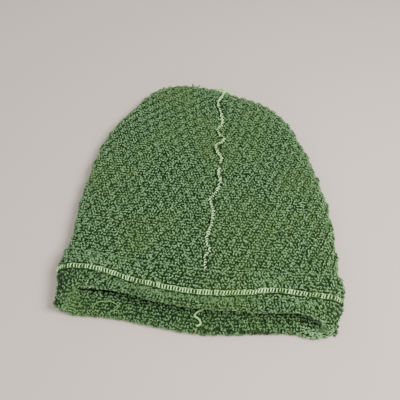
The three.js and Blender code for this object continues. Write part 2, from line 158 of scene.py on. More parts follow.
HEM_UPPER = (
    HemLine(-1.0, 1.5, 33, 51, 0),
    HemLine(-0.9, 17, 34.5, 50, 1.5),
    HemLine(-0.72, 19, 34, 47.5, 2.5),
    HemLine(-0.5, 16, 28, 45, 2),
    HemLine(-0.25, 12.5, 24.5, 43.5, 0.5),
    HemLine(0.0, 11.5, 23.5, 42.5, -0.5),
    HemLine(0.28, 12.5, 26.5, 43.5, 0),
    HemLine(0.5, 13.5, 31, 45.5, 1),
    HemLine(0.75, 15.5, 30.5, 48, 2),
    HemLine(0.92, 11, 31, 50, 1),
    HemLine(1.0, 3.5, 31.5, 50.6, 0),
)
HEM_LOWER = (
    HemLine(-1.0, 1.5, 33, 51),
    HemLine(-0.9, -0.5, 24, 45),
    HemLine(-0.72, 0.5, 21, 41),
    HemLine(-0.5, -0.5, 20, 39),
    HemLine(-0.25, -3, 18, 37),
    HemLine(0.0, -4.5, 17, 36),
    HemLine(0.28, -2, 18, 37),
    HemLine(0.5, 1, 21, 39),
    HemLine(0.75, 3.5, 24, 42),
    HemLine(0.92, 2, 26, 47),
    HemLine(1.0, 3.5, 31.5, 50.6),
)
BENDS = (
    Bend(40, 0), Bend(46, -0.4), Bend(57, -1.6), Bend(63, 1.6), Bend(70, -2.2), Bend(79, -1.6),
    Bend(90, 0.3), Bend(104, -0.6), Bend(113, -4.0), Bend(123, 0.7), Bend(135, 3.2), Bend(143, 0.2),
    Bend(152, 0.8), Bend(163, 1.5), Bend(170, -3.2), Bend(177, -4.8), Bend(186, 3.8), Bend(193, -2.0),
    Bend(199, -3.2), Bend(205, 1.4), Bend(221, 0), Bend(235, -3.6), Bend(249, 0.8), Bend(262, 0),
)
DENTS = (
    Dent(-62, 92, 34, -1.8),
    Dent(-78, 165, 30, 1.5),
    Dent(58, 118, 32, 1.6),
    Dent(66, 182, 26, -1.6),
    Dent(-34, 214, 28, -1.2),
)


def column(table: tuple, name: str) -> Array:
    """One field of every row of a table."""
    return np.array([getattr(entry, name) for entry in table], float)


def hermite(ends: tuple[Array, Array], slopes: tuple[Array, Array], t: Array) -> Array:
    """Cubic between two values with given slopes.

    Args:
        ends: Values at t = 0 and at t = 1.
        slopes: Slopes there.
        t: Places between them.

    Returns:
        The values at t.
    """
    t2, t3 = t * t, t * t * t
    blend = (2 * t3 - 3 * t2 + 1) * ends[0] + (3 * t2 - 2 * t3) * ends[1]
    return blend + (t3 - 2 * t2 + t) * slopes[0] + (t3 - t2) * slopes[1]


def through_rows(values: Array, place: Array) -> Array:
    """Smooth values through evenly spaced rows.

    Args:
        values: One value for each row, or one for each row and point.
        place: Places from 0 at the first row to 1 at the last.

    Returns:
        The value at each place.
    """
    last = len(values) - 1
    at = np.clip(place, 0, 1) * last
    row = np.minimum(at.astype(int), last - 1)
    near = [np.clip(row + offset, 0, last) for offset in (-1, 0, 1, 2)]
    points = np.arange(len(place))
    before, start, end, after = (values[i] if values.ndim == 1 else values[i, points] for i in near)
    leave = np.where(row > 0, (end - before) / 2, end - start)
    arrive = np.where(row + 2 <= last, (after - start) / 2, end - start)
    return hermite((start, end), (leave, arrive), at - row)


def from_table(table: tuple, key: str, name: str, position: Array) -> Array:
    """Smooth values of one field of a table at positions given by another.

    Args:
        table: Rows of one dataclass.
        key: The field that rises from row to row.
        name: The field to read.
        position: Where to read it.

    Returns:
        The value at each position.
    """
    keys, values = column(table, key), column(table, name)
    last = len(keys) - 1
    before, after = np.maximum(np.arange(last + 1) - 1, 0), np.minimum(np.arange(last + 1) + 1, last)
    slopes = (values[after] - values[before]) / (keys[after] - keys[before])
    row = np.clip(np.searchsorted(keys, position, side="right") - 1, 0, last - 1)
    span = keys[row + 1] - keys[row]
    t = np.clip((position - keys[row]) / span, 0, 1)
    return hermite((values[row], values[row + 1]), (slopes[row] * span, slopes[row + 1] * span), t)


def smooth(value: Array, low: float, high: float) -> Array:
    """Smooth step from 0 at low to 1 at high."""
    t = np.clip((value - low) / (high - low), 0, 1)
    return t * t * (3 - 2 * t)


def unit(vectors: Array) -> Array:
    """Vectors turned into unit vectors along the last axis."""
    return vectors / np.maximum(np.linalg.norm(vectors, axis=-1, keepdims=True), NIL)


def square_to(vectors: Array, axis: Array) -> Array:
    """Unit vectors turned square to other unit vectors."""
    return unit(vectors - (vectors * axis).sum(1)[:, None] * axis)


def lengths_along(points: Array) -> Array:
    """Length from the first point of a line to each of its points."""
    return np.concatenate([[0], np.cumsum(np.linalg.norm(np.diff(points, axis=0), axis=1))])


def along_line(values: Array, lengths: Array, at: Array) -> Array:
    """Numbers or vectors of a line's points, read at other lengths along it."""
    if values.ndim == 1:
        return np.interp(at, lengths, values)
    return np.column_stack([np.interp(at, lengths, part) for part in values.T])


def curve_through(turns: tuple[Turn, ...], steps: int) -> Array:
    """A smooth line through a few points, as rows of X, Y and Z."""
    fine = np.linspace(0, 1, steps)
    return np.column_stack([through_rows(column(turns, key), fine) for key in ("x", "y", "z")])


def spun(side: Array, over: Array, angle: Array) -> Array:
    """Directions at angles round a line, from its directions to the side and over it."""
    return side[:, None] * np.cos(angle)[..., None] + over[:, None] * np.sin(angle)[..., None]


@dataclass(frozen=True)
class HatForm:
    """The outer face of the folded hat, the same as in the solids.

    A place runs from 0 at the rim to 1 at the top. Across runs from -1 at the left fold over 0 at the
    centre seam to 1 at the right fold.
    """

    fabric: float = 3.0
    gap: float = 0.3
    fold_reach: float = 15.0
    side_fall: float = 2.5
    valley_depth: float = 1.8
    recess_depth: float = 3.3
    valley_reach: float = 10.0
    valley_start: Span = (1, 14)
    step_down: Span = (3, 22)
    lip_fade: Span = (-20, 25)
    fold_drop: float = 0.4
    inner_leaf: float = 17.0
    middle_x: float = -0.308
    middle_y: float = 130.743
    top_y: float = 260.5
    strip_place: float = 1 / (len(ROWS) - 1)
    band_place: float = 2 / (len(ROWS) - 1)
    outline_steps: int = 90
    outline_drop: float = 60.0
    highest: float = 0.9995
    halvings: int = 26
    fold_start: float = 0.4
    chunk: int = 20000

    @property
    def hem_fold(self) -> float:
        """Outer radius of the hem's fold."""
        return self.fabric / 2 + self.gap + self.fabric

    @property
    def unfolded(self) -> float:
        """How much further out the fabric reaches than the folded outline."""
        return (math.pi / 2 - 1) * self.fold_reach

    def seam_x(self, place: Array) -> Array:
        """Where the centre seam lies along X."""
        return through_rows(column(ROWS, "seam_x"), place)

    def edges(self, axis: str, across: Array) -> Array:
        """Where each row meets the fold on each point's own side."""
        return np.where(across < 0, *(column(ROWS, f"{side}_{axis}")[:, None] for side in ("left", "right")))

    def along_y(self, layer: Layer, place: Array, across: Array) -> Array:
        """Distance along Y of points on one layer.

        Args:
            layer: Upper or lower layer.
            place: Places up the crown.
            across: Places across it.

        Returns:
            Their Y.
        """
        table = HEM_UPPER if layer is Layer.UPPER else HEM_LOWER
        w = np.abs(across)
        rows = column(ROWS, "seam_y")[:, None] * (1 - w) + self.edges("y", across) * w
        rim, strip, top = (from_table(table, "across", name, across) for name in ("rim", "strip", "top"))
        rows[:3] = rim + self.hem_fold + self.fold_drop, strip, top
        return through_rows(rows, place)

    def band_top(self, layer: Layer, across: Array) -> Array:
        """Distance along Y of the band's top edge."""
        return self.along_y(layer, np.full_like(across, self.band_place), across)

    def plan(self, layer: Layer, place: Array, across: Array) -> Array:
        """Plan positions of points, as rows of X and Y."""
        seam, edge = self.seam_x(place), through_rows(self.edges("x", across), place)
        return np.column_stack([seam + (edge - seam) * np.abs(across), self.along_y(layer, place, across)])

    def outline(self) -> Array:
        """The folded outline from below the left fold over the top to below the right fold."""
        halves = []
        place = np.linspace(0, 1, self.outline_steps + 1)
        for side in Side:
            half = self.plan(Layer.UPPER, place, np.full_like(place, side.value))
            halves.append(np.vstack([half[0] - [0, self.outline_drop], half]))
        return np.vstack([halves[0], halves[1][-2::-1]])

    def to_outline(self, plan: Array) -> tuple[Array, Array]:
        """Distance to the outline and the direction inwards from it.

        Args:
            plan: Points as rows of X and Y, inside the outline.

        Returns:
            The distance of each point, and its unit direction away from the nearest outline point.
        """
        line = self.outline()
        start, step = line[:-1], np.diff(line, axis=0)
        length2 = np.maximum((step ** 2).sum(1), NIL)
        distance, inward = [], []
        for part in np.array_split(plan, len(plan) // self.chunk + 1):
            away = part[:, None] - start
            t = np.clip((away * step).sum(2) / length2, 0, 1)
            gap = np.linalg.norm(away - t[..., None] * step, axis=2)
            best = gap.argmin(1)
            distance.append(gap.min(1))
            inward.append(unit(np.column_stack([step[best, 1], -step[best, 0]])))
        return np.concatenate(distance), np.concatenate(inward)

    def inside(self, plan: Array) -> Array:
        """Whether points lie inside the outline closed along its lower ends."""
        line = self.outline()
        x, y = plan[:, :1], plan[:, 1:]
        near_x, near_y = line.T
        far_x, far_y = np.roll(line, -1, axis=0).T
        climb = far_y - near_y
        crossing = near_x + (far_x - near_x) * (y - near_y) / np.where(np.abs(climb) > NIL, climb, NIL)
        crosses = ((near_y > y) != (far_y > y)) & (x < crossing)
        return crosses.sum(1) % 2 == 1

    def heights(self, layer: Layer, place: Array, across: Array, plan: Array, rise: Array) -> Array:
        """Heights of the outer face.

        Args:
            layer: Upper or lower layer.
            place: Places up the crown.
            across: Places across it.
            plan: Plan positions of the same points.
            rise: How far each has risen out of the fold, from 0 to 1.

        Returns:
            Their Z.
        """
        loft = through_rows(column(ROWS, "loft"), place)
        past_band = plan[:, 1] - self.band_top(layer, across)
        from_seam = np.abs(plan[:, 0] - self.seam_x(place))
        draw = (1 - smooth(from_seam, 0, self.valley_reach)) * smooth(past_band, *self.valley_start)
        middle = loft / 2
        if layer is Layer.LOWER:
            band = (self.fabric + self.gap) * (1 - smooth(past_band, *self.step_down))
            return middle - (middle - np.maximum(band, self.recess_depth * draw)) * rise
        lip = from_table(HEM_UPPER, "across", "lift", across) * (1 - smooth(past_band, *self.lip_fade))
        top = loft - self.side_fall * across * across + lip - self.valley_depth * draw
        for dent in DENTS:
            away = np.hypot(plan[:, 0] - dent.x, plan[:, 1] - dent.y) / dent.reach
            top = top + dent.rise * np.exp(-away * away)
        return middle + (top - middle) * rise

    def surface(self, layer: Layer, place: Array, across: Array) -> Array:
        """Points on the outer face of one layer.

        Args:
            layer: Upper or lower layer.
            place: Places up the crown.
            across: Places across it.

        Returns:
            The points, which rise out of the fold as a quarter circle.
        """
        plan = self.plan(layer, place, across)
        t = 1 - np.minimum(self.to_outline(plan)[0], self.fold_reach) / self.fold_reach
        rise = np.where((np.abs(across) >= 1) | (place >= 1), 0, np.sqrt(np.maximum(1 - t * t, 0)))
        return np.column_stack([plan, self.heights(layer, place, across, plan, rise)])

    def fabric_of(self, plan: Array) -> Array:
        """Where points of the folded layer lie on the unfolded fabric."""
        distance, inward = self.to_outline(plan)
        folded = np.minimum(distance, self.fold_reach)
        arc = self.fold_reach * np.arccos(np.clip(1 - folded / self.fold_reach, -1, 1))
        return plan + ((arc - folded) - self.unfolded)[:, None] * inward

    def fold_in(self, fabric: Array) -> tuple[Array, Array, Array]:
        """Folds points of the flat fabric into the hat's outline.

        Args:
            fabric: Points of the unfolded fabric.

        Returns:
            Their plan positions, their rise, and whether they lie on the fabric at all.
        """
        distance, inward = self.to_outline(fabric)
        inside = self.inside(fabric)
        signed = np.where(inside, distance, -distance)
        arc = signed + self.unfolded
        turn = np.clip(arc / self.fold_reach, 0, math.pi / 2)
        curved = arc < self.fold_reach * math.pi / 2
        shift = np.where(curved, self.fold_reach * (1 - np.cos(turn)) - signed, 0)
        inwards = (inward * ([self.middle_x, self.middle_y] - fabric)).sum(1) > 0
        return fabric + shift[:, None] * inward, np.sin(turn), (arc > self.fold_start) & (inside | inwards)

    def across_at(self, place: Array, aside: Array) -> Array:
        """Places across the crown of points at a distance along X from the seam."""
        width = through_rows(self.edges("x", aside), place) - self.seam_x(place)
        w = np.clip(aside / np.where(np.abs(width) < TINY, TINY, width), 0, 1)
        return np.where(aside < 0, -w, w)

    def locate(self, layer: Layer, plan: Array) -> tuple[Array, Array]:
        """Finds where plan positions lie on the crown, by halving.

        Args:
            layer: Upper or lower layer.
            plan: Points as rows of X and Y.

        Returns:
            Their places up the crown and across it.
        """
        low, high = np.zeros(len(plan)), np.full(len(plan), self.highest)
        for _ in range(self.halvings):
            place = (low + high) / 2
            across = self.across_at(place, plan[:, 0] - self.seam_x(place))
            above = self.along_y(layer, place, across) < plan[:, 1]
            low, high = np.where(above, place, low), np.where(above, high, place)
        place = (low + high) / 2
        return place, self.across_at(place, plan[:, 0] - self.seam_x(place))

    def folded_surface(self, layer: Layer, fabric: Array) -> Array:
        """Points of the flat fabric set on the outer face of one layer, as rows of X, Y and Z."""
        plan, rise, _ = self.fold_in(fabric)
        place, across = self.locate(layer, plan)
        return np.column_stack([plan, self.heights(layer, place, across, plan, rise)])

    def fold_spacing(self, length: float, count: int) -> Array:
        """Shares of a length, evenly spaced along the fabric and round the fold at its end."""
        flat = length - self.fold_reach
        arc = np.linspace(0, flat + self.fold_reach * math.pi / 2, count)
        turn = np.clip((arc - flat) / self.fold_reach, 0, math.pi / 2)
        return np.where(arc < flat, arc, flat + self.fold_reach * np.sin(turn)) / length

    def places_up(self, count: int) -> Array:
        """Places up the crown, evenly spaced along the fabric and over the top."""
        fine = np.linspace(0, 1, 800)
        rise = self.along_y(Layer.UPPER, fine, np.zeros_like(fine))
        length = self.top_y - rise[0]
        at = rise[0] + self.fold_spacing(length, count) * length
        return np.interp(at, np.maximum.accumulate(rise), fine)


FORM = HatForm()


# ---- Meshes ----


def place_object(name: str, data: bpy.types.ID) -> Piece:
    """Makes an object and links it to the scene."""
    made = bpy.data.objects.new(name, data)
    bpy.context.scene.collection.objects.link(made)
    return made


def new_mesh(name: str, points: Array, faces: list, material: Material) -> Piece:
    """Makes a smooth-shaded mesh object.

    Args:
        name: The piece's name.
        points: Its corners, in millimetres of the form.
        faces: Corner numbers of each face.
        material: Its finish.

    Returns:
        The new object, in metres in the row's frame.
    """
    mesh = bpy.data.meshes.new(name)
    placed = (points - np.array([FORM.middle_x, FORM.middle_y, 0.0])) * MM
    mesh.from_pydata(placed.tolist(), [], faces)
    mesh.polygons.foreach_set("use_smooth", [True] * len(mesh.polygons))
    mesh.materials.append(material)
    mesh.update()
    return place_object(name, mesh)


def closed_mesh(name: str, grid: Array, faces: list, material: Material, tone: Array | float) -> Piece:
    """Makes a closed piece, merges its coinciding corners and turns its faces outwards.

    Args:
        name: The piece's name.
        grid: A grid of its corners.
        faces: Corner numbers of each face.
        material: Its finish.
        tone: Lightness of the whole piece or of each corner.

    Returns:
        The finished piece.
    """
    piece = new_mesh(name, grid.reshape(-1, 3), faces, material)
    add_values(piece.data, "tone", np.broadcast_to(tone, grid.shape[:-1]).ravel())
    add_values(piece.data, "crest", np.full(grid.size // 3, LEVEL_CREST))
    work = bmesh.new()
    work.from_mesh(piece.data)
    bmesh.ops.remove_doubles(work, verts=work.verts, dist=1e-6)
    bmesh.ops.dissolve_degenerate(work, edges=work.edges, dist=1e-7)
    bmesh.ops.recalc_face_normals(work, faces=work.faces)
    work.to_mesh(piece.data)
    work.free()
    piece.data.update()
    return piece


def finish_pieces(pieces: list[Piece]) -> list[Piece]:
    """Ties pieces to the body and returns them."""
    for piece in pieces:
        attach(piece, "root")
    return pieces


def add_values(mesh: bpy.types.Mesh, name: str, values: Array) -> None:
    """Stores a number or a vector for each corner point of a mesh."""
    kind, key = ("FLOAT", "value") if values.ndim == 1 else ("FLOAT_VECTOR", "vector")
    attribute = mesh.attributes.new(name, kind, "POINT")
    attribute.data.foreach_set(key, np.ascontiguousarray(values, dtype=np.float32).ravel())


def grid_faces(rows: int, columns: int, flip: bool = False, offset: int = 0, loop: bool = False) -> list:
    """Faces between rings of points.

    Args:
        rows: How many rings.
        columns: Points in each ring.
        flip: True to turn the faces over.
        offset: Number of the first point.
        loop: True where the last ring joins the first.

    Returns:
        Four corner numbers for each face.
    """
    faces = []
    for i in range(rows if loop else rows - 1):
        low, high = offset + i * columns, offset + (i + 1) % rows * columns
        for j in range(columns):
            k = (j + 1) % columns
            faces.append((low + j, low + k, high + k, high + j))
    return [face[::-1] for face in faces] if flip else faces


def tube_faces(rows: int, sides: int, flip: bool = False, offset: int = 0) -> list:
    """Faces of a tube that is closed at both ends."""
    last = offset + (rows - 1) * sides
    caps = [tuple(range(offset, offset + sides))[::-1], tuple(range(last, last + sides))]
    return grid_faces(rows, sides, flip, offset) + ([cap[::-1] for cap in caps] if flip else caps)


def grid_normals(grid: Array, ring: bool = False) -> Array:
    """Normals of a grid of points, from its two directions."""
    across = np.gradient(grid, axis=1)
    if ring:
        across = (np.roll(grid, -1, axis=1) - np.roll(grid, 1, axis=1)) / 2
    return unit(np.cross(across, np.gradient(grid, axis=0)))


# ---- Node trees ----


class Tree:
    """A node tree under construction, laid out and linked by small calls."""

    def __init__(self, tree: bpy.types.NodeTree) -> None:
        """Takes an empty or a new tree."""
        self.tree = tree

    def socket(self, name: str, kind: str, value: object = None, output: bool = False) -> None:
        """Adds a named input or output to the tree.

        Args:
            name: The socket's name.
            kind: Its type, such as Float.
            value: Its default.
            output: True for an output.
        """
        side = "OUTPUT" if output else "INPUT"
        made = self.tree.interface.new_socket(name=name, in_out=side, socket_type="NodeSocket" + kind)
        if value is not None:
            made.default_value = value

    def node(self, kind: str, settings: dict | None = None, **inputs: object) -> bpy.types.Node:
        """Adds a node.

        Args:
            kind: Its type.
            settings: Properties of the node.
            inputs: Values or output sockets for its inputs, by name with spaces as underscores, or
                by number as i0, i1 and so on.

        Returns:
            The node.
        """
        node = self.tree.nodes.new(kind)
        for key, value in (settings or {}).items():
            setattr(node, key, value)
        for key, value in inputs.items():
            numbered = key[0] == "i" and key[1:].isdigit()
            socket = node.inputs[int(key[1:]) if numbered else key.replace("_", " ")]
            if isinstance(value, Socket):
                self.tree.links.new(value, socket)
            else:
                socket.default_value = value
        return node

    def first(self, kind: str, settings: dict | None = None, **inputs: object) -> Socket:
        """Adds a node and returns its first output."""
        return self.node(kind, settings, **inputs).outputs[0]

    def math(self, operation: str, first: object, second: object = 0.0) -> Socket:
        """Adds a math node and returns its result."""
        return self.first("ShaderNodeMath", {"operation": operation}, i0=first, i1=second)

    def vector(self, x: object, y: object, z: object) -> Socket:
        """Adds a node that joins three numbers into a vector and returns it."""
        return self.first("ShaderNodeCombineXYZ", i0=x, i1=y, i2=z)

    def stored(self, name: str, kind: str) -> Socket:
        """Adds a node that reads an attribute of the mesh and returns it."""
        node = self.node("GeometryNodeInputNamedAttribute", {"data_type": kind}, Name=name)
        return node.outputs["Attribute"]

    def shown(self, name: str) -> Socket:
        """Adds a node that reads an attribute for a material and returns it."""
        return self.node("ShaderNodeAttribute", {"attribute_name": name}).outputs["Fac"]

    def ramp(self, value: object, low: float, high: float, top: float = 1.0) -> Socket:
        """Adds a node that rises from 0 at low to top at high and returns its result."""
        return self.first("ShaderNodeMapRange", Value=value, i1=low, i2=high, i3=0.0, i4=top)

    def mix(self, share: object, first: object, second: object) -> Socket:
        """Adds a node that mixes two colours and returns the result."""
        settings = {"data_type": "RGBA", "clamp_factor": True}
        return self.node("ShaderNodeMix", settings, i0=share, i6=first, i7=second).outputs[2]


@dataclass(frozen=True)
class Strand:
    """A short arched length of yarn or thread that is laid again and again."""

    width: float
    rise: float
    crest: float
    radius: float
    sides: int
    steps: int


def strand_tree(name: str, strand: Strand, material: Material) -> bpy.types.NodeTree:
    """Geometry Nodes tree that lays an arched strand on each point of a mesh.

    Args:
        name: The tree's name.
        strand: Sizes in millimetres.
        material: The strand's finish.

    Returns:
        The tree, with its sizes as named inputs.
    """
    tree = bpy.data.node_groups.new(name, "GeometryNodeTree")
    t = Tree(tree)
    t.socket("Geometry", "Geometry")
    for key in ("Width", "Rise", "Crest", "Radius"):
        t.socket(key, "Float", getattr(strand, key.lower()) * MM)
    t.socket("Seed", "Int")
    t.socket("Geometry", "Geometry", output=True)
    inputs = t.node("NodeGroupInput").outputs
    half = t.math("MULTIPLY", inputs["Width"], 0.5)
    down = t.math("MULTIPLY", inputs["Rise"], -0.5)
    over = t.math("MULTIPLY", inputs["Rise"], 1.5)
    top = t.math("MULTIPLY", inputs["Crest"], 2.0)
    arc = t.first(
        "GeometryNodeCurveQuadraticBezier",
        Resolution=strand.steps,
        Start=t.vector(t.math("MULTIPLY", half, -1.0), down, 0.0),
        Middle=t.vector(0.0, over, top),
        End=t.vector(half, down, 0.0),
    )
    factor = t.node("GeometryNodeSplineParameter").outputs["Factor"]
    marked = t.first(
        "GeometryNodeStoreNamedAttribute",
        {"data_type": "FLOAT", "domain": "POINT"},
        Geometry=arc,
        Name="crest",
        Value=t.math("SINE", t.math("MULTIPLY", factor, math.pi)),
    )
    ring = t.first("GeometryNodeCurvePrimitiveCircle", Resolution=strand.sides, Radius=inputs["Radius"])
    tube = t.first("GeometryNodeCurveToMesh", Curve=marked, Profile_Curve=ring, Fill_Caps=True)
    turn = t.first(
        "FunctionNodeAxesToRotation",
        {"primary_axis": "Z", "secondary_axis": "X"},
        i0=t.stored("out_dir", "FLOAT_VECTOR"),
        i1=t.stored("run_dir", "FLOAT_VECTOR"),
    )
    low, high = SIZE_RANGE
    vary = t.node("FunctionNodeRandomValue", {"data_type": "FLOAT"}, i2=low, i3=high, Seed=inputs["Seed"])
    scale = t.math("MULTIPLY", t.stored("size", "FLOAT"), vary.outputs[1])
    laid = t.first(
        "GeometryNodeInstanceOnPoints",
        Points=inputs["Geometry"],
        Instance=tube,
        Rotation=turn,
        Scale=t.vector(scale, scale, scale),
    )
    real = t.first("GeometryNodeRealizeInstances", Geometry=laid)
    even = t.first("GeometryNodeSetShadeSmooth", Geometry=real)
    t.node("NodeGroupOutput", i0=t.first("GeometryNodeSetMaterial", Geometry=even, Material=material))
    return tree


@dataclass
class Places:
    """Points that strands are laid on, with their directions, size and tone."""

    points: Array
    out: Array
    run: Array
    size: Array
    tone: Array

    def only(self, keep: Array) -> "Places":
        """The places where keep is true."""
        return Places(self.points[keep], self.out[keep], self.run[keep], self.size[keep], self.tone[keep])


def join_places(parts: list[Places]) -> Places:
    """Several sets of places as one."""
    return Places(*(np.concatenate([getattr(part, key.name) for part in parts]) for key in fields(Places)))


def lay_strands(name: str, places: Places, strand: Strand, material: Material, seed: int) -> Piece:
    """Lays a strand at each place and turns the result into one plain mesh.

    Args:
        name: The piece's name.
        places: Where the strands lie.
        strand: Their sizes.
        material: Their finish.
        seed: Seed of their small differences.

    Returns:
        The finished piece.
    """
    reach = (strand.crest + strand.radius) * SIZE_RANGE[1] * places.size * np.maximum(-places.out[:, 2], 0)
    points = places.points.copy()
    points[:, 2] = np.maximum(points[:, 2], reach)
    carrier = new_mesh(name + "_places", points, [], material)
    stored = {"out_dir": places.out, "run_dir": places.run, "size": places.size, "tone": places.tone}
    for key, values in stored.items():
        add_values(carrier.data, key, values)
    tree = strand_tree(name + "_tree", strand, material)
    modifier = carrier.modifiers.new("strands", "NODES")
    modifier.node_group = tree
    for item in tree.interface.items_tree:
        if item.in_out == "INPUT" and item.name == "Seed":
            modifier[item.identifier] = seed
    graph = bpy.context.evaluated_depsgraph_get()
    mesh = bpy.data.meshes.new_from_object(carrier.evaluated_get(graph))
    mesh.name = name
    bpy.data.objects.remove(carrier)
    return place_object(name, mesh)


# ---- Finishes ----


def wool_group() -> bpy.types.NodeTree:
    """Shader group for the uneven colour and the fibres of spun yarn, used by every yarn and thread."""
    tree = bpy.data.node_groups.new("spun_fibre", "ShaderNodeTree")
    t = Tree(tree)
    t.socket("Vector", "Vector")
    for key, grey in (("Deep", 0.0), ("Body", 0.5), ("Light", 1.0), ("Warm", 0.5)):
        t.socket(key, "Color", (grey, grey, grey, 1.0))
    for key, value in (("Tone", 0.5), ("Patch size", 24.0), ("Fibre size", 900.0), ("Mottle", 1.0)):
        t.socket(key, "Float", value)
    t.socket("Colour", "Color", output=True)
    t.socket("Height", "Float", output=True)
    inputs = t.node("NodeGroupInput").outputs
    noise = {"Vector": inputs["Vector"]}
    fibre = t.first("ShaderNodeTexNoise", Scale=inputs["Fibre size"], Detail=3.0, Roughness=0.65, **noise)
    patch = t.first("ShaderNodeTexNoise", Scale=inputs["Patch size"], Detail=2.0, **noise)
    mottled = t.math("MULTIPLY", t.math("SUBTRACT", fibre, 0.5), inputs["Mottle"])
    shifted = t.math("ADD", inputs["Tone"], mottled)
    dark = t.mix(t.ramp(shifted, 0.0, 0.5), inputs["Deep"], inputs["Body"])
    bright = t.mix(t.ramp(shifted, 0.5, 1.0), dark, inputs["Light"])
    warmed = t.mix(t.ramp(patch, 0.42, 0.7, 0.3), bright, inputs["Warm"])
    t.node("NodeGroupOutput", Colour=warmed, Height=fibre)
    return tree


@dataclass(frozen=True)
class YarnFinish:
    """A matt spun yarn or thread, with painted shade where each strand dips between its neighbours and
    painted light on its crest.
    """

    name: str
    deep: Colour
    body: Colour
    light: Colour
    warm: Colour
    roughness: float = 0.92
    roughness_spread: float = 0.16
    specular: float = 0.1
    sheen: float = 0.08
    sheen_roughness: float = 0.6
    bump: float = 0.5
    bump_depth: float = 0.0006
    fibre_size: float = 900.0
    mottle: float = 1.2
    # Painted light on each strand's crest and painted shade at its ends.
    crest_painted_shading: float = 0.5

    def material(self, group: bpy.types.NodeTree) -> Material:
        """Builds the material.

        Args:
            group: The shader group of spun fibre.

        Returns:
            The material, which reads the piece's tone and crest attributes.
        """
        made = bpy.data.materials.new(self.name)
        made.use_nodes = True
        made.node_tree.nodes.clear()
        t = Tree(made.node_tree)
        # Painted light on the strand's crest, painted shade at its ends where it dips.
        lifted = t.math("MULTIPLY", t.math("SUBTRACT", t.shown("crest"), LEVEL_CREST), self.crest_painted_shading)
        wool = t.node(
            "ShaderNodeGroup",
            {"node_tree": group},
            Vector=t.node("ShaderNodeTexCoord").outputs["Object"],
            Deep=self.deep,
            Body=self.body,
            Light=self.light,
            Warm=self.warm,
            Tone=t.math("ADD", t.shown("tone"), lifted),
            Fibre_size=self.fibre_size,
            Mottle=self.mottle,
        ).outputs
        uneven = t.math("MULTIPLY", wool["Height"], self.roughness_spread)
        bump = t.first("ShaderNodeBump", Strength=self.bump, Distance=self.bump_depth, Height=wool["Height"])
        shader = t.first(
            "ShaderNodeBsdfPrincipled",
            Base_Color=wool["Colour"],
            Roughness=t.math("ADD", uneven, self.roughness - self.roughness_spread / 2),
            Specular_IOR_Level=self.specular,
            Sheen_Weight=self.sheen,
            Sheen_Roughness=self.sheen_roughness,
            Normal=bump,
        )
        t.node("ShaderNodeOutputMaterial", i0=shader)
        return made


@dataclass(frozen=True)
class Lattice:
    """Rows of staggered puffs, whose columns lean over the higher they climb.

    The rows slope by tilt at the foot and by tilt_growth more for every 100 mm up. With a slant, the
    puffs run together more along one diagonal than along the other.
    """

    width: float
    height: float
    start: Span = (0.0, 0.0)
    lean: float = 0.0
    lean_from: float = 100.0
    lean_over: float = 100.0
    tilt: float = 0.0
    tilt_growth: float = 0.0
    slant: float = 0.0

    def relief(self, across: Array, up: Array) -> Array:
        """Height of the puffs, from 0 in the creases to 1 on top.

        Args:
            across: Distances along the rows.
            up: Distances up the fabric.

        Returns:
            The height at each place.
        """
        wander = 0.5 * np.sin(up / 17 + across / 31) + 0.3 * np.sin(across / 13 - up / 23)
        climbed = np.clip(up - self.lean_from, 0, self.lean_over)
        beyond = np.maximum(up - self.lean_from - self.lean_over, 0)
        bend = self.lean * (climbed * climbed / (2 * self.lean_over) + beyond)
        slope = self.tilt + self.tilt_growth * (up - 60) / 100
        columns = (across + bend + wander) / self.width + self.start[0]
        rows = (up - across * slope + wander) / self.height + self.start[1]
        rising = np.cos(2 * math.pi * (columns - rows))
        falling = np.cos(2 * math.pi * (columns + rows))
        return 0.5 + 0.25 * ((1 + self.slant) * rising + (1 - self.slant) * falling)


LATTICES = {
    Side.LEFT: Lattice(
        11.8, 17.4, start=(-0.15, 0.28), lean=0.47, lean_from=133, lean_over=100, tilt=0.05, tilt_growth=0.09
    ),
    Side.RIGHT: Lattice(
        10.5, 18.1, start=(0.25, 0.26), lean=0.4, lean_from=76, lean_over=160, tilt=0.11, tilt_growth=0.03,
        slant=0.4,
    ),
}
BAND_LATTICE = Lattice(11.2, 16.4)


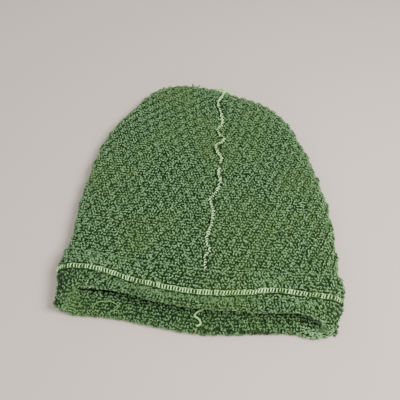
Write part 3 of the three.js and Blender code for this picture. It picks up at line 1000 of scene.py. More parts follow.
@dataclass(frozen=True)
class Knit:
    """The texture of the knit: rows of loops drawn into rows of staggered puffs."""

    puff_rise: float = 2.6
    puff_fullness: float = 0.7
    middle: float = 5.3
    loop_width: float = 2.7
    loop_height: float = 2.7
    under_share: float = 1.35
    wander: float = 0.35
    turn_spread: float = 1.2
    reading: float = 0.4
    sink: float = 2.45
    floor_wall: float = 1.15
    lift: float = 0.2
    size: float = 0.84
    puff_size: float = 0.19
    size_spread: float = 0.04
    under_size: float = 0.12
    tone: float = 0.37
    # Painted light on the puffs' tops and painted shade in the creases between them.
    puff_painted_shading: float = 0.27
    tone_spread: float = 0.07
    # Painted light on the loops inside the mouth, which lie in shade.
    inner_painted_light: float = 0.4
    # Painted shade of the ground: dark in the creases between puffs, lighter on their tops.
    ground_painted_shade: float = 0.35
    # Painted light on the ground's inner sheet, which lies in shade inside the hat.
    inner_sheet_painted_light: float = 0.9
    joint_room: float = 0.3
    ridge_room: float = 1.75
    edge_room: float = 1.5
    inner_reach: float = 0.93
    inner_end: float = 85.0
    fabric_x: Span = (-145, 150)
    fabric_y: Span = (20, 285)
    strand: Strand = Strand(width=2.2, rise=1.3, crest=0.9, radius=0.55, sides=4, steps=4)
    scallop: float = 1.0
    scallop_length: float = 23.0
    fold_facing: Span = (0.3, 0.85)
    side_facing: Span = (0.3, 0.7)
    seed: int = 41

    def puff(self, fabric: Array) -> Array:
        """Height of the crown's puffs at points of the flat fabric, from 0 in the creases to 1 on top."""
        from_middle, y = fabric[:, 0] - self.middle, fabric[:, 1]
        left = LATTICES[Side.LEFT].relief(-from_middle, y)
        right = LATTICES[Side.RIGHT].relief(from_middle, y)
        return self.filled(np.where(from_middle > 0, right, left), fabric)

    def filled(self, relief: Array, fabric: Array) -> Array:
        """Rounds the puffs, no two quite alike."""
        x, y = fabric[:, 0], fabric[:, 1]
        uneven = np.sin(x / 7.3 + 1.3 * np.sin(y / 9.1)) * np.sin(y / 6.1 + 1.7 * np.sin(x / 11.3))
        return np.clip(relief, 0, 1) ** self.puff_fullness * (0.93 + 0.07 * uneven)

    def height(self, puff: Array, points: Array, out: Array) -> Array:
        """Height of the ground fabric over the outer face of the solids.

        Args:
            puff: Heights of the puffs.
            points: Points on the outer face.
            out: Directions out of it.

        Returns:
            The height at each point, with the edge of the folded hat swelling and dipping.
        """
        at_fold = 1 - smooth(np.abs(out[..., 2]), *self.fold_facing)
        edge = at_fold * (0.2 + 0.8 * smooth(np.abs(out[..., 0]), *self.side_facing))
        along = points[..., 1] + 0.8 * points[..., 0]
        wave = np.sin(2 * math.pi * along / self.scallop_length + 0.9 * np.sin(along / 19))
        return puff * self.puff_rise - self.sink + self.scallop * edge * wave


KNIT = Knit()


# ---- The crown ----


@dataclass
class CrownPanel:
    """One knitted half of the crown: the ground fabric and the loops on it."""

    side: Side
    ground: Material
    yarn: Material
    upper_count: int = 72
    lower_count: int = 48
    place_count: int = 128
    length: float = 120.0

    @property
    def node(self) -> str:
        """Name of the CAD node that the panel replaces."""
        return f"crown_{self.side.name.lower()}"

    def outer_grid(self) -> tuple[Array, Array]:
        """The outer face as rows of points from joint to joint, and its puffs.

        Returns:
            The grid of points and the height of the puff at each.
        """
        upper = FORM.fold_spacing(self.length, self.upper_count)
        lower = FORM.fold_spacing(self.length, self.lower_count)[-2::-1]
        places = FORM.places_up(self.place_count)
        grids, puffs = [], []
        for layer, w in ((Layer.UPPER, upper), (Layer.LOWER, lower)):
            place, across = (a.ravel() for a in np.meshgrid(places, self.side.value * w, indexing="ij"))
            points = FORM.surface(layer, place, across)
            points[:, 0] += self.side.value * FORM.gap / 2 * (1 - np.abs(across))
            grids.append(points.reshape(len(places), len(w), 3))
            puffs.append(KNIT.puff(FORM.fabric_of(points[:, :2])).reshape(len(places), len(w)))
        return np.concatenate(grids, axis=1), np.concatenate(puffs, axis=1)

    def build_ground(self) -> Piece:
        """Builds the puffed ground fabric, closed along its rims.

        Returns:
            The ground's object.
        """
        grid, puff = self.outer_grid()
        side = self.side.value
        out = grid_normals(grid) * side
        out[-1] = (0, 1, 0)
        out[:, 0, 0] = out[:, -1, 0] = 0
        out = unit(out)
        raised = grid + out * KNIT.height(puff, grid, out)[..., None]
        inner = grid - out * FORM.fabric
        for sheet in (raised, inner):
            sheet[..., 0] = side * np.maximum(side * sheet[..., 0], side * grid[:, :1, 0])
        raised[..., 2] = np.maximum(raised[..., 2], KNIT.floor_wall)
        raised[-1], inner[-1] = raised[-1, 0], inner[-1, 0]
        rows, columns = puff.shape
        back = 2 * columns - 1
        faces = grid_faces(rows, 2 * columns, flip=self.side is Side.LEFT)
        faces += [(back - j, back - j - 1, j + 1, j) for j in range(columns - 1)]
        whole = np.concatenate([raised, inner[:, ::-1]], axis=1)
        # Painted shade in the creases of the outer sheet; painted light on the inner sheet, which lies in
        # shade.
        tone = np.concatenate([puff * KNIT.ground_painted_shade, np.full_like(puff, KNIT.inner_sheet_painted_light)], axis=1)
        return closed_mesh(self.node + "_ground", whole, faces, self.ground, tone)

    def build(self) -> list[Piece]:
        """Builds the panel's pieces.

        Returns:
            Its pieces.
        """
        ground = self.build_ground()
        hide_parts(self.node)
        pieces = [ground]
        for layer in Layer:
            name = f"{self.node}_{layer.name.lower()}_loops"
            seed = KNIT.seed + self.side.value + 10 * layer.value
            pieces.append(lay_strands(name, loop_field(layer, self.side), KNIT.strand, self.yarn, seed))
        inner = join_places([loop_field(layer, self.side, Face.INNER) for layer in Layer])
        pieces.append(lay_strands(f"{self.node}_inner_loops", inner, KNIT.strand, self.yarn, KNIT.seed + 30))
        return finish_pieces(pieces)


def ridge_distance(from_seam: Array, y: Array) -> Array:
    """Distance from the seam's ridge of points at distances from the joint and up the crown."""
    below, aside, above = (from_table(BENDS, "along", "aside", y + step) for step in (-0.5, 0.0, 0.5))
    return np.abs(from_seam - aside) / np.sqrt(1 + (above - below) ** 2)


def staggered(columns: Array, rows: Array, pitch: float) -> tuple[Array, Array]:
    """Crossings of columns and rows, every second row moved on by half a pitch."""
    x, y = np.meshgrid(columns, rows)
    return x + (np.arange(len(rows)) % 2)[:, None] * pitch / 2, y


def loop_field(layer: Layer, side: Side, face: Face = Face.OUTER) -> Places:
    """Places of the loops over one layer of one half of the crown.

    Args:
        layer: Upper or lower layer.
        side: Half of the crown.
        face: Outer face, or the part of the inner face that the mouth shows.

    Returns:
        The places, with each loop's directions, size and tone.
    """
    chance = np.random.default_rng(KNIT.seed + 3 * side.value + 5 * layer.value)
    coarse = 1.0 if (layer, face) == (Layer.UPPER, Face.OUTER) else KNIT.under_share
    width, height = KNIT.loop_width * coarse, KNIT.loop_height * coarse
    x, y = staggered(np.arange(*KNIT.fabric_x, width), np.arange(*KNIT.fabric_y, height), width)
    fabric = np.column_stack([x.ravel(), y.ravel()])
    fabric = fabric + chance.normal(0, KNIT.wander, fabric.shape)
    plan, _, real = FORM.fold_in(fabric)
    place, across = FORM.locate(layer, plan)
    from_seam = plan[:, 0] - FORM.seam_x(place)
    keep = real & (from_seam * side.value > KNIT.joint_room)
    if face is Face.INNER:
        keep &= (np.abs(across) < KNIT.inner_reach) & (plan[:, 1] < KNIT.inner_end)
    else:
        ridge = ridge_distance(from_seam, plan[:, 1]) if layer is Layer.UPPER else np.abs(from_seam)
        keep &= (plan[:, 1] > FORM.band_top(layer, across) - KNIT.edge_room) & (ridge > KNIT.ridge_room)
    fabric = fabric[keep]
    here = FORM.folded_surface(layer, fabric)
    steps = np.eye(2) * KNIT.reading
    run, up = (unit(FORM.folded_surface(layer, fabric + step) - here) for step in steps)
    out = unit(np.cross(run, up)) * layer.value
    puff = KNIT.puff(fabric)
    lift = KNIT.height(puff, here, out)
    if face is Face.INNER:
        out, lift = -out, np.full(len(out), FORM.fabric)
    laid = dressed_places(here + out * lift[:, None], out, run, puff, chance)
    laid.size *= coarse
    # Painted light on the inner loops, which lie in shade inside the mouth.
    laid.tone += KNIT.inner_painted_light * (face is Face.INNER)
    return laid


def dressed_places(ground: Array, out: Array, run: Array, puff: Array, chance: np.random.Generator) -> Places:
    """Sets loops on the puffed ground, each turned and toned a little differently, with painted light on the
    puffs' tops and painted shade in their creases.

    Args:
        ground: Points on the puffed ground.
        out: Directions out of the fabric.
        run: Directions along the rows.
        puff: Heights of the puffs.
        chance: Source of the differences.

    Returns:
        The places of the loops.
    """
    count = len(ground)
    turn = chance.normal(0, KNIT.turn_spread, count) + math.pi * (chance.random(count) < 0.5)
    side = unit(np.cross(out, run))
    turned = run * np.cos(turn)[:, None] + side * np.sin(turn)[:, None]
    below = smooth(-out[:, 2], *FACING_DOWN)
    size = KNIT.size + KNIT.puff_size * puff + chance.normal(0, KNIT.size_spread, count)
    size = size - KNIT.under_size * below
    # Painted light on the puffs' tops, added to the random tone.
    tone = KNIT.tone + KNIT.puff_painted_shading * puff + chance.normal(0, KNIT.tone_spread, count)
    return Places(ground + out * KNIT.lift, out, turned, size, np.clip(tone, -0.2, 1.2))


# ---- The hem ----


@dataclass(frozen=True)
class Crease:
    """A pinched line close to the front fold of the lower layer, seen through the open mouth: its loops
    shrink, and a painted shadow darkens them.
    """

    first: float = 4.0
    last: float = 62.0
    start: float = -0.9
    slope: float = 0.06
    reach: float = 0.75
    ease: float = 4.0
    top: float = 9.0

    def depth(self, points: Array) -> Array:
        """How deep points lie in the crease, from 0 beside it to 1 in it."""
        x, y, z = points.T
        beside = (y - self.start - self.slope * x) / self.reach
        begun, ended = (smooth(x, end - self.ease, end + self.ease) for end in (self.first, self.last))
        return np.exp(-beside * beside) * begun * (1 - ended) * (z < self.top)


@dataclass(frozen=True)
class HemPaintedShading:
    """How the loops' tone and size change over the band: painted shade on the inner leaf, the lip and the
    crease, and painted light in the mouth's right corner and at the end of the inner leaf.

    Depths run from 0 at the band's top edge to 1 at the end of the inner leaf.
    """

    # Painted shade on the inner leaf, under the lip.
    inner: float = -0.12
    # Painted light in the mouth's right corner, on the inner leaf in the shaded wedge between the leaves.
    corner: float = 0.42
    corner_x: Span = (78, 100)
    corner_depth: Span = (0.52, 0.66)
    corner_growth: float = 0.2
    # Painted light on the deepest part of the inner leaf, which lies in shade.
    end: float = 0.25
    end_depth: Span = (0.84, 0.94)
    # Painted shade on the outer leaf's lip, more where it faces up, to tone down the light falling on it.
    lip: float = -0.22
    lip_x: Span = (35, 75)
    lip_depth: Span = (0.2, 0.34)
    lip_facing: Span = (0.0, 0.5)
    crease: Crease = Crease()
    # Painted shadow along the crease.
    crease_painted_shadow: float = -1.0
    crease_growth: float = -0.35

    def apply(self, laid: Places, depth: Array, outside: Array) -> None:
        """Paints light and shade into the loops' tone and sizes them.

        Args:
            laid: Their places.
            depth: How far down the band each lies.
            outside: True for the loops of the outer leaf.
        """
        x = laid.points[:, 0]
        corner = smooth(x, *self.corner_x) * smooth(depth, *self.corner_depth)
        lip = smooth(depth, *self.lip_depth) * smooth(laid.out[:, 2], *self.lip_facing) * outside
        lip *= 1 - smooth(x, *self.lip_x)
        pinched = self.crease.depth(laid.points)
        # Painted shade on the inner leaf, the lip and the crease; painted light in the right corner and at
        # the inner leaf's end.
        laid.tone += np.where(outside, 0.0, self.corner * corner + self.inner)
        laid.tone += self.end * smooth(depth, *self.end_depth) + self.lip * lip
        laid.tone += self.crease_painted_shadow * pinched
        laid.size *= 1 + self.corner_growth * corner + self.crease_growth * pinched


@dataclass(frozen=True)
class Ring:
    """One ring of the band: its place on the crown, how it stands off it, and its share of the puffs."""

    place: float
    shift: Array | float = 0.0
    rise: float = 0.0
    out: float = 0.0
    relief: float = 1.0


@dataclass
class HemBand:
    """The turned-up band: outer leaf, fold and inner leaf, with the loops on all that shows."""

    ground: Material
    yarn: Material
    tones: HemPaintedShading = HemPaintedShading()
    upper_count: int = 84
    lower_count: int = 70
    length: float = 120.0
    groove_depth: float = 1.4
    groove_floor: float = 2.9
    groove_wall: float = 0.6
    groove_relief: float = 0.15
    edge_round: float = 0.7
    leaf_gap: float = 0.45
    leaf_round: float = 0.8
    # Painted light on the hidden back of the band, to lighten the shade seen in the mouth.
    back_painted_light: float = 0.6
    outer_steps: int = 11
    fold_steps: int = 9
    leaf_steps: int = 10
    measured_ring: int = 10
    reading: float = 0.004
    stride: float = 0.008
    wander: float = 0.4
    first_row: float = 0.4
    last_room: float = 1.5
    edge_zone: float = 3.0
    least_relief: float = 0.35
    floor_share: float = 0.2

    def stations(self) -> list[tuple[Layer, Array]]:
        """Places round the hem, from the front seam over the right fold and back over the left."""
        upper = FORM.fold_spacing(self.length, self.upper_count)
        lower = FORM.fold_spacing(self.length, self.lower_count)
        back = np.concatenate([lower[-2::-1], -lower[1:]])
        return [(Layer.UPPER, upper), (Layer.LOWER, back), (Layer.UPPER, -upper[-2:0:-1])]

    def line(self, place: float, shift: Array | float = 0.0) -> Array:
        """Ring of points on the outer face at one place, moved by a shift of place."""
        stations = self.stations()
        ends = np.cumsum([len(across) for _, across in stations])
        places = np.split(np.broadcast_to(place + shift, ends[-1]), ends[:-1])
        parts = [FORM.surface(layer, at, across) for at, (layer, across) in zip(places, stations)]
        return np.concatenate(parts)

    def frames(self, place: float, shift: Array | float = 0.0) -> tuple[Array, Array, Array]:
        """Points, directions up the crown and directions out of the fabric round the hem."""
        here = self.line(place, shift)
        run = unit(unit(here - np.roll(here, 1, axis=0)) + unit(np.roll(here, -1, axis=0) - here))
        up = unit(self.line(place, shift + self.reading) - here)
        return here, up, unit(np.cross(run, up))

    def shift_for(self, place: float, distance: float) -> Array:
        """Shift of place that moves each station a distance up the crown.

        Args:
            place: Where the stations start.
            distance: How far they move, walked in short strides.

        Returns:
            The shift of each station.
        """
        stride = math.copysign(self.stride, distance)
        here = self.line(place)
        shift, left = np.zeros(len(here)), np.full(len(here), abs(distance))
        while (left > TINY).any():
            length = np.linalg.norm(self.line(place, shift + stride) - here, axis=1)
            share = np.clip(left / np.maximum(length, NIL), 0, 1)
            shift = shift + stride * share
            left = left - length * share
            here = self.line(place, shift)
        return shift

    def rings(self) -> tuple[list[Ring], list[Ring]]:
        """The band's section as rings.

        Returns:
            The rings from the top edge over the fold to the end of the inner leaf, and the hidden ones back.
        """
        near, far = FORM.gap, FORM.gap + FORM.fabric
        top, strip = FORM.band_place, FORM.strip_place
        lip = self.groove_floor + self.groove_wall
        upper_lip, lower_lip = self.shift_for(strip, lip), self.shift_for(strip, -lip)
        leaf_end = self.shift_for(0.0, FORM.inner_leaf)
        shares = np.linspace(0, 1, self.outer_steps)
        floor = np.linspace(self.groove_floor, -self.groove_floor, 5)
        middle, inside = -FORM.fabric / 2, -FORM.fabric * 2 - self.leaf_gap
        turns = np.linspace(math.pi / 2, -math.pi / 2, self.fold_steps)
        shown = [Ring(top, 0.0, 0.0, near, 0.0), Ring(top, 0.0, self.edge_round, (near + far) / 2, 0.0)]
        shown += [Ring(strip, (top - strip) * (1 - share) + upper_lip * share, out=far) for share in shares]
        shown += [
            Ring(strip, self.shift_for(strip, at or NUDGE), 0.0, far - self.groove_depth, self.groove_relief)
            for at in floor
        ]
        shown += [Ring(strip, lower_lip * (1 - share) - strip * share, out=far) for share in shares[:-1]]
        shown += self.fold(FORM.hem_fold, middle, turns)
        shown += [Ring(0.0, leaf_end * share, out=inside) for share in np.linspace(0, 1, self.leaf_steps)[1:]]
        shown += [Ring(0.0, leaf_end, self.leaf_round, inside - middle, 0.0)]
        behind = -FORM.fabric - self.leaf_gap
        hidden = [Ring(0.0, leaf_end * share, out=behind) for share in np.linspace(1, 0.25, 4)]
        hidden += self.fold(FORM.fabric / 2 + FORM.gap, middle, turns[::-2])
        hidden += [Ring(top * share, out=near) for share in np.linspace(0, 1, 7)[1:-1]]
        return shown, hidden

    @staticmethod
    def fold(radius: float, middle: float, turns: Array) -> list[Ring]:
        """Rings round the hem's fold, at a radius about its middle."""
        return [
            Ring(0.0, 0.0, -(FORM.fold_drop + radius * math.cos(turn)), middle + radius * math.sin(turn))
            for turn in turns
        ]

    def build(self) -> list[Piece]:
        """Builds the band and its loops.

        Returns:
            Its pieces.
        """
        shown, hidden = self.rings()
        whole = []
        for ring in shown + hidden:
            here, up, away = self.frames(ring.place, ring.shift)
            whole.append(here + up * ring.rise + away * ring.out)
        whole = np.array(whole)
        grid, relief = whole[:len(shown)], np.array([ring.relief for ring in shown])
        out = -grid_normals(grid, ring=True)
        around = lengths_along(grid[self.measured_ring])
        down = np.concatenate([[0], np.cumsum(np.linalg.norm(np.diff(grid, axis=0), axis=2).mean(1))])
        fabric = np.stack(np.meshgrid(around, down), axis=-1).reshape(-1, 2)
        puff = KNIT.filled(BAND_LATTICE.relief(*fabric.T), fabric).reshape(grid.shape[:2])
        raised = grid + out * (KNIT.height(puff, grid, out) * relief[:, None])[..., None]
        floor = np.minimum(relief[:, None] + self.floor_share, 1)
        raised[..., 2] = np.maximum(raised[..., 2], KNIT.floor_wall * floor)
        whole = np.concatenate([raised, whole[len(shown):]])
        # Painted light on the hidden back of the band; painted shade in the creases between the puffs of its
        # face.
        tone = np.full(whole.shape[:2], self.back_painted_light)
        tone[:len(shown)] = puff * KNIT.ground_painted_shade
        faces = grid_faces(*whole.shape[:2], loop=True)
        ground = closed_mesh("hem_band_ground", whole, faces, self.ground, tone)
        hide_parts("hem_band")
        places, outside = self.loop_places(raised, out, puff, relief, around, down)
        pieces = [ground]
        for name, part in (("outer", places.only(outside)), ("inner", places.only(~outside))):
            pieces.append(lay_strands(f"hem_band_{name}_loops", part, KNIT.strand, self.yarn, KNIT.seed + 90))
        return finish_pieces(pieces)

    def loop_places(
        self, grid: Array, out: Array, puff: Array, relief: Array, around: Array, down: Array
    ) -> tuple[Places, Array]:
        """Places of the loops over the band's face.

        Args:
            grid: The puffed face, one row for each ring.
            out: Directions out of it.
            puff: Heights of the puffs.
            relief: Share of the relief on each ring.
            around: Distance round the hem of each column.
            down: Distance from the top edge of each ring.

        Returns:
            The places of the loops, and whether each lies on the outer leaf.
        """
        chance = np.random.default_rng(KNIT.seed + 77)
        length = 2 * around[-1] - around[-2]
        columns = np.linspace(0, length, int(length / KNIT.loop_width), endpoint=False)
        rows = np.arange(self.first_row, down[-1] - self.last_room, KNIT.loop_height)
        x, y = staggered(columns, rows, KNIT.loop_width)
        x = (x + chance.normal(0, self.wander, x.shape)).ravel() % length
        y = (y + chance.normal(0, self.wander, y.shape)).ravel()
        column_at = np.interp(x, np.append(around, length), np.arange(len(around) + 1))
        row_at = np.interp(y, down, np.arange(len(down)))
        i = np.clip(row_at.astype(int), 0, len(down) - 2)
        j = column_at.astype(int) % len(around)
        k = (j + 1) % len(around)
        s, t = row_at - i, column_at - column_at.astype(int)

        def sample(values: Array) -> Array:
            """Values of the grid between its corners."""
            weights = (1 - s) * (1 - t), (1 - s) * t, s * (1 - t), s * t
            corners = values[i, j], values[i, k], values[i + 1, j], values[i + 1, k]
            return sum((weight * corner.T).T for weight, corner in zip(weights, corners))

        share = sample(np.repeat(relief[:, None], len(around), axis=1))
        keep = (share > self.least_relief) | (y < self.edge_zone)
        outside = y < down[-1] / 2
        run = unit(np.roll(grid, -1, axis=1) - grid)
        laid = dressed_places(sample(grid), unit(sample(out)), unit(sample(run)), sample(puff), chance)
        self.tones.apply(laid, y / down[-1], outside)
        return laid.only(keep), outside[keep]


# ---- Threads ----


@dataclass
class OverlockStrip:
    """The ladder of overlock thread round the band, on a narrow ground of its own, coloured with the ground's
    painted shade.
    """

    band: HemBand
    ground: Material
    thread: Material
    half_width: float = 2.5
    under: float = 1.0
    over: float = 1.9
    thickens: Span = (-0.6, 0.8)
    pitch: float = 2.4
    pitch_spread: float = 0.07
    place_spread: float = 0.25
    sunk: float = 0.3
    sunk_under: float = 0.75
    size: float = 0.98
    size_spread: float = 0.1
    section: tuple[Span, ...] = (
        (-1.0, 0.0), (-1.0, 0.45), (-0.5, 0.7), (0.0, 0.75), (0.5, 0.7), (1.0, 0.45), (1.0, 0.0),
    )
    # Painted shade: how dark the strip's ground shows between the bars.
    ground_painted_shade: float = 0.5
    tone: float = 0.72
    swell: float = 0.24
    tone_spread: float = 0.2
    lean: float = 0.18
    lean_spread: float = 0.16
    link_tones: Span = (0.35, 0.75)
    link_drop: float = 0.2
    link_reach: float = 0.72
    seed: int = 23
    bar: Strand = Strand(width=3.7, rise=0.0, crest=0.75, radius=0.46, sides=6, steps=6)
    link: Strand = Strand(width=2.4, rise=0.6, crest=0.2, radius=0.26, sides=5, steps=4)

    def build(self) -> list[Piece]:
        """Builds the ground strip, the bars and the links along their ends.

        Returns:
            Its pieces.
        """
        place = FORM.strip_place
        floor = 2 * FORM.gap + FORM.fabric - self.band.groove_depth
        rings = []
        for away, share in self.section:
            shift = self.band.shift_for(place, away * self.half_width or NUDGE)
            here, up, out = self.band.frames(place, shift)
            thick = self.under + (self.over - self.under) * smooth(out[:, 2], *self.thickens)
            rings.append(here + out * (floor + share * thick)[:, None])
            if away == 0.0:
                middle = here, up, out, floor + thick
        faces = grid_faces(len(rings), len(rings[0]), flip=True, loop=True)
        ground = closed_mesh("hem_overlock_ground", np.array(rings), faces, self.ground, self.ground_painted_shade)
        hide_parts("hem_overlock")
        bars, links = self.thread_places(*middle)
        pieces = [
            ground,
            lay_strands("hem_overlock_bars", bars, self.bar, self.thread, 11),
            lay_strands("hem_overlock_links", links, self.link, self.thread, 12),
        ]
        return finish_pieces(pieces)

    def thread_places(self, centre: Array, up: Array, out: Array, top: Array) -> tuple[Places, Places]:
        """Places of the bars and of the links at both of their ends.

        Args:
            centre: Middle line of the strip on the crown's face.
            up: Directions up the crown.
            out: Directions out of the fabric.
            top: Height of the strip's top over the crown's face.

        Returns:
            The places of the bars and of the links.
        """
        chance = np.random.default_rng(self.seed)
        closed = [np.concatenate([values, values[:1]]) for values in (centre, up, out, top)]
        around = lengths_along(closed[0])
        count = int(around[-1] / self.pitch)
        at = (np.arange(count) + chance.normal(0, self.pitch_spread, count)) * around[-1] / count % around[-1]
        point, up, out, top = (along_line(values, around, at) for values in closed)
        up, out = unit(up), unit(out)
        run = unit(np.cross(up, out))
        lift = top - self.sunk - self.sunk_under * smooth(-out[:, 2], *FACING_DOWN)
        lean = chance.normal(self.lean, self.lean_spread, count)[:, None]
        point = point + up * chance.normal(0, self.place_spread, (count, 1))
        size = self.size + chance.normal(0, self.size_spread, count)
        swell = np.sin(at / 19) * np.sin(at / 7.3 + 1.2)
        tone = self.tone + self.swell * swell + chance.normal(0, self.tone_spread, count)
        tone = np.clip(tone, 0.1, 1.1)
        ends = []
        for end, share in zip((-1, 1), self.link_tones):
            place = point + out * (lift - self.link_drop)[:, None]
            place = place + up * (end * self.half_width * self.link_reach)
            ends.append(Places(place, out, run * -end, size, tone * share))
        bars = Places(point + out * lift[:, None], out, unit(up + run * lean), size, tone)
        return bars, join_places(ends)


@dataclass(frozen=True)
class SeamLine:
    """A line that a ridge follows, with its directions across and out of the fabric."""

    points: Array
    across: Array
    out: Array


@dataclass(frozen=True)
class Ridge:
    """A serged ridge: a soft core with slanted thread wraps over it. On the centre seam the core takes the
    ground's dark colour, painted shade between the wraps.
    """

    half_width: float = 0.96
    crest: float = 1.26
    clearance: float = 0.4
    pitch: float = 2.5
    inset: float = 0.5
    place_spread: float = 0.2
    size_spread: float = 0.1
    slant: float = 0.7
    slant_spread: float = 0.25
    foot: float = 0.6
    foot_under: float = 0.75
    core_tone: float = 0.55
    tone: float = 0.88
    tone_spread: float = 0.13
    section: tuple[Span, ...] = (
        (-1.0, 0.0), (0.0, -0.16), (1.0, 0.0), (1.0, 0.5),
        (0.58, 0.87), (0.0, 1.0), (-0.58, 0.87), (-1.0, 0.5),
    )
    wrap: Strand = Strand(width=2.4, rise=0.3, crest=1.1, radius=0.52, sides=6, steps=6)

    def core(self, name: str, line: SeamLine, material: Material) -> Piece:
        """Builds the core.

        Args:
            name: The piece's name.
            line: The ridge's middle line on the fabric.
            material: The core's finish.

        Returns:
            The finished core.
        """
        rings = np.stack([
            line.points + line.across * (x * self.half_width) + line.out * (self.clearance + z * self.crest)
            for x, z in self.section
        ], axis=1)
        return closed_mesh(name, rings, tube_faces(*rings.shape[:2], flip=True), material, self.core_tone)

    def wraps(self, name: str, line: SeamLine, material: Material, seed: int) -> Piece:
        """Lays the wraps along the ridge.

        Args:
            name: The piece's name.
            line: The ridge's middle line on the fabric.
            material: The thread's finish.
            seed: Seed of their differences.

        Returns:
            The finished wraps.
        """
        chance = np.random.default_rng(seed)
        along = lengths_along(line.points)
        count = int(along[-1] / self.pitch)
        at = np.linspace(self.inset, along[-1] - self.inset, count)
        point, side, away = (along_line(values, along, at) for values in (line.points, line.across, line.out))
        side, away = unit(side), unit(away)
        run = unit(np.cross(away, side))
        turned = unit(side + run * (self.slant + chance.normal(0, self.slant_spread, count))[:, None])
        point = point + side * chance.normal(0, self.place_spread, (count, 1))
        foot = np.where(away[:, 2] < -0.5, self.foot_under, 1.0) * self.foot
        size = 1 + chance.normal(0, self.size_spread, count)
        tone = np.clip(self.tone + chance.normal(0, self.tone_spread, count), 0.5, 1.1)
        places = Places(point + away * foot[:, None], away, turned, size, tone)
        return lay_strands(name, places, self.wrap, material, seed)


@dataclass
class SergedSeam:
    """The serged ridge over the centre seam, and its end, which lies along the top of the crown."""

    core: Material
    thread: Material
    ridge: Ridge = Ridge()
    end_ridge: Ridge = Ridge(
        half_width=1.3,
        crest=1.9,
        clearance=-0.4,
        pitch=2.6,
        foot=0.2,
        wrap=Strand(width=3.2, rise=0.3, crest=1.6, radius=0.5, sides=6, steps=6),
    )
    end_route: tuple[Turn, ...] = (
        Turn(-8, 262.5, 14), Turn(-4.7, 264.6, 15), Turn(1.1, 264.6, 15.5), Turn(5.9, 262.2, 15.5),
        Turn(10.1, 259.3, 15.5), Turn(13.8, 256.4, 15), Turn(16.8, 253.6, 14),
    )
    end_facing: Vec = (0.0, 0.5, 0.87)
    start: float = 3.0
    row_height: float = 29.0
    straightens: float = 0.97
    quiver: float = 0.4
    front_steps: int = 300
    front_ease: float = 1.25
    back_steps: int = 60
    back_ease: float = 1.8

    def line(self) -> SeamLine:
        """Middle line of the ridge on the crown's face, over the front and down the back.

        Returns:
            The line with its directions.
        """
        begin = FORM.band_place + self.start / self.row_height * FORM.strip_place
        front = begin + (1 - begin) * (1 - (1 - np.linspace(0, 1, self.front_steps)) ** self.front_ease)
        back = 1 + (begin - 1) * np.linspace(0, 1, self.back_steps)[1:] ** self.back_ease
        y = FORM.along_y(Layer.UPPER, front, np.zeros_like(front))
        aside = from_table(BENDS, "along", "aside", y) + self.quiver * np.sin(y / 0.95 + 2 * np.sin(y / 11))
        aside = aside * (1 - smooth(front, self.straightens, 1.0))
        points = np.concatenate([
            FORM.surface(Layer.UPPER, front, FORM.across_at(front, aside)),
            FORM.surface(Layer.LOWER, back, np.zeros_like(back)),
        ])
        along = unit(np.gradient(points, axis=0))
        across = square_to(np.array([[1.0, 0.0, 0.0]]), along)
        return SeamLine(points, across, unit(np.cross(across, along)))

    def end_line(self) -> SeamLine:
        """Middle line of the ridge's end, which lies along the top of the crown."""
        points = curve_through(self.end_route, 40)
        along = unit(np.gradient(points, axis=0))
        out = square_to(unit(np.array([self.end_facing])), along)
        return SeamLine(points, np.cross(along, out), out)

    def build(self) -> list[Piece]:
        """Builds the ridge and its end.

        Returns:
            Its pieces.
        """
        line, end = self.line(), self.end_line()
        # The core takes the ground's painted shade.
        core = self.ridge.core("crown_seam_core", line, self.core)
        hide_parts("crown_seam")
        pieces = [
            core,
            self.ridge.wraps("crown_seam_wraps", line, self.thread, 31),
            self.end_ridge.core("crown_seam_end_core", end, self.thread),
            self.end_ridge.wraps("crown_seam_end_wraps", end, self.thread, 32),
        ]
        return finish_pieces(pieces)


@dataclass
class Fuzz:
    """Loose fibres that stand out of the yarn."""

    yarn: Material
    share: float = 0.09
    lightening: float = 0.25
    fibre: Strand = Strand(width=3.6, rise=1.4, crest=1.3, radius=0.1, sides=3, steps=4)
    seed: int = 63

    def build(self) -> list[Piece]:
        """Builds the fibres over the upper layer and round its folds.

        Returns:
            Its pieces.
        """
        chance = np.random.default_rng(self.seed)
        chosen = []
        for side in Side:
            places = loop_field(Layer.UPPER, side)
            chosen.append(places.only(chance.random(len(places.size)) < self.share))
        joined = join_places(chosen)
        joined.tone = np.clip(joined.tone + self.lightening, 0, 1)
        joined.size = np.ones(len(joined.size))
        joined.run = square_to(unit(joined.run + chance.normal(0, 1.0, joined.run.shape)), joined.out)
        piece = lay_strands("crown_loose_fibres", joined, self.fibre, self.yarn, self.seed)
        return finish_pieces([piece])


@dataclass(frozen=True)
class Thread:
    """A thread of plies that wind round each other, which follows a few points."""

    name: str
    turns: tuple[Turn, ...]
    radius: float
    tone: float
    plies: int = 2
    fullness: float = 1.15
    twist: float = 2.6
    sides: int = 6
    step: float = 0.35

    def build(self, material: Material) -> Piece:
        """Builds the thread.

        Args:
            material: Its finish.

        Returns:
            The finished thread.
        """
        route = curve_through(self.turns, 400)
        length = lengths_along(route)
        line = along_line(route, length, np.linspace(0, length[-1], max(int(length[-1] / self.step), 8)))
        along = unit(np.gradient(line, axis=0))
        side = unit(np.cross(along, [0.0, 0.0, 1.0]))
        over = np.cross(side, along)
        thin = self.radius / 2
        angles = 2 * math.pi * np.arange(self.sides)[None] / self.sides
        round_ply = thin * self.fullness * spun(side, over, angles)
        rings, faces = [], []
        for ply in range(self.plies):
            wind = 2 * math.pi * (lengths_along(line) / self.twist + ply / self.plies)
            rings.append(line[:, None] + thin * spun(side, over, wind[:, None]) + round_ply)
            faces += tube_faces(len(line), self.sides, offset=ply * len(line) * self.sides)
        return closed_mesh(self.name, np.array(rings), faces, material, self.tone)


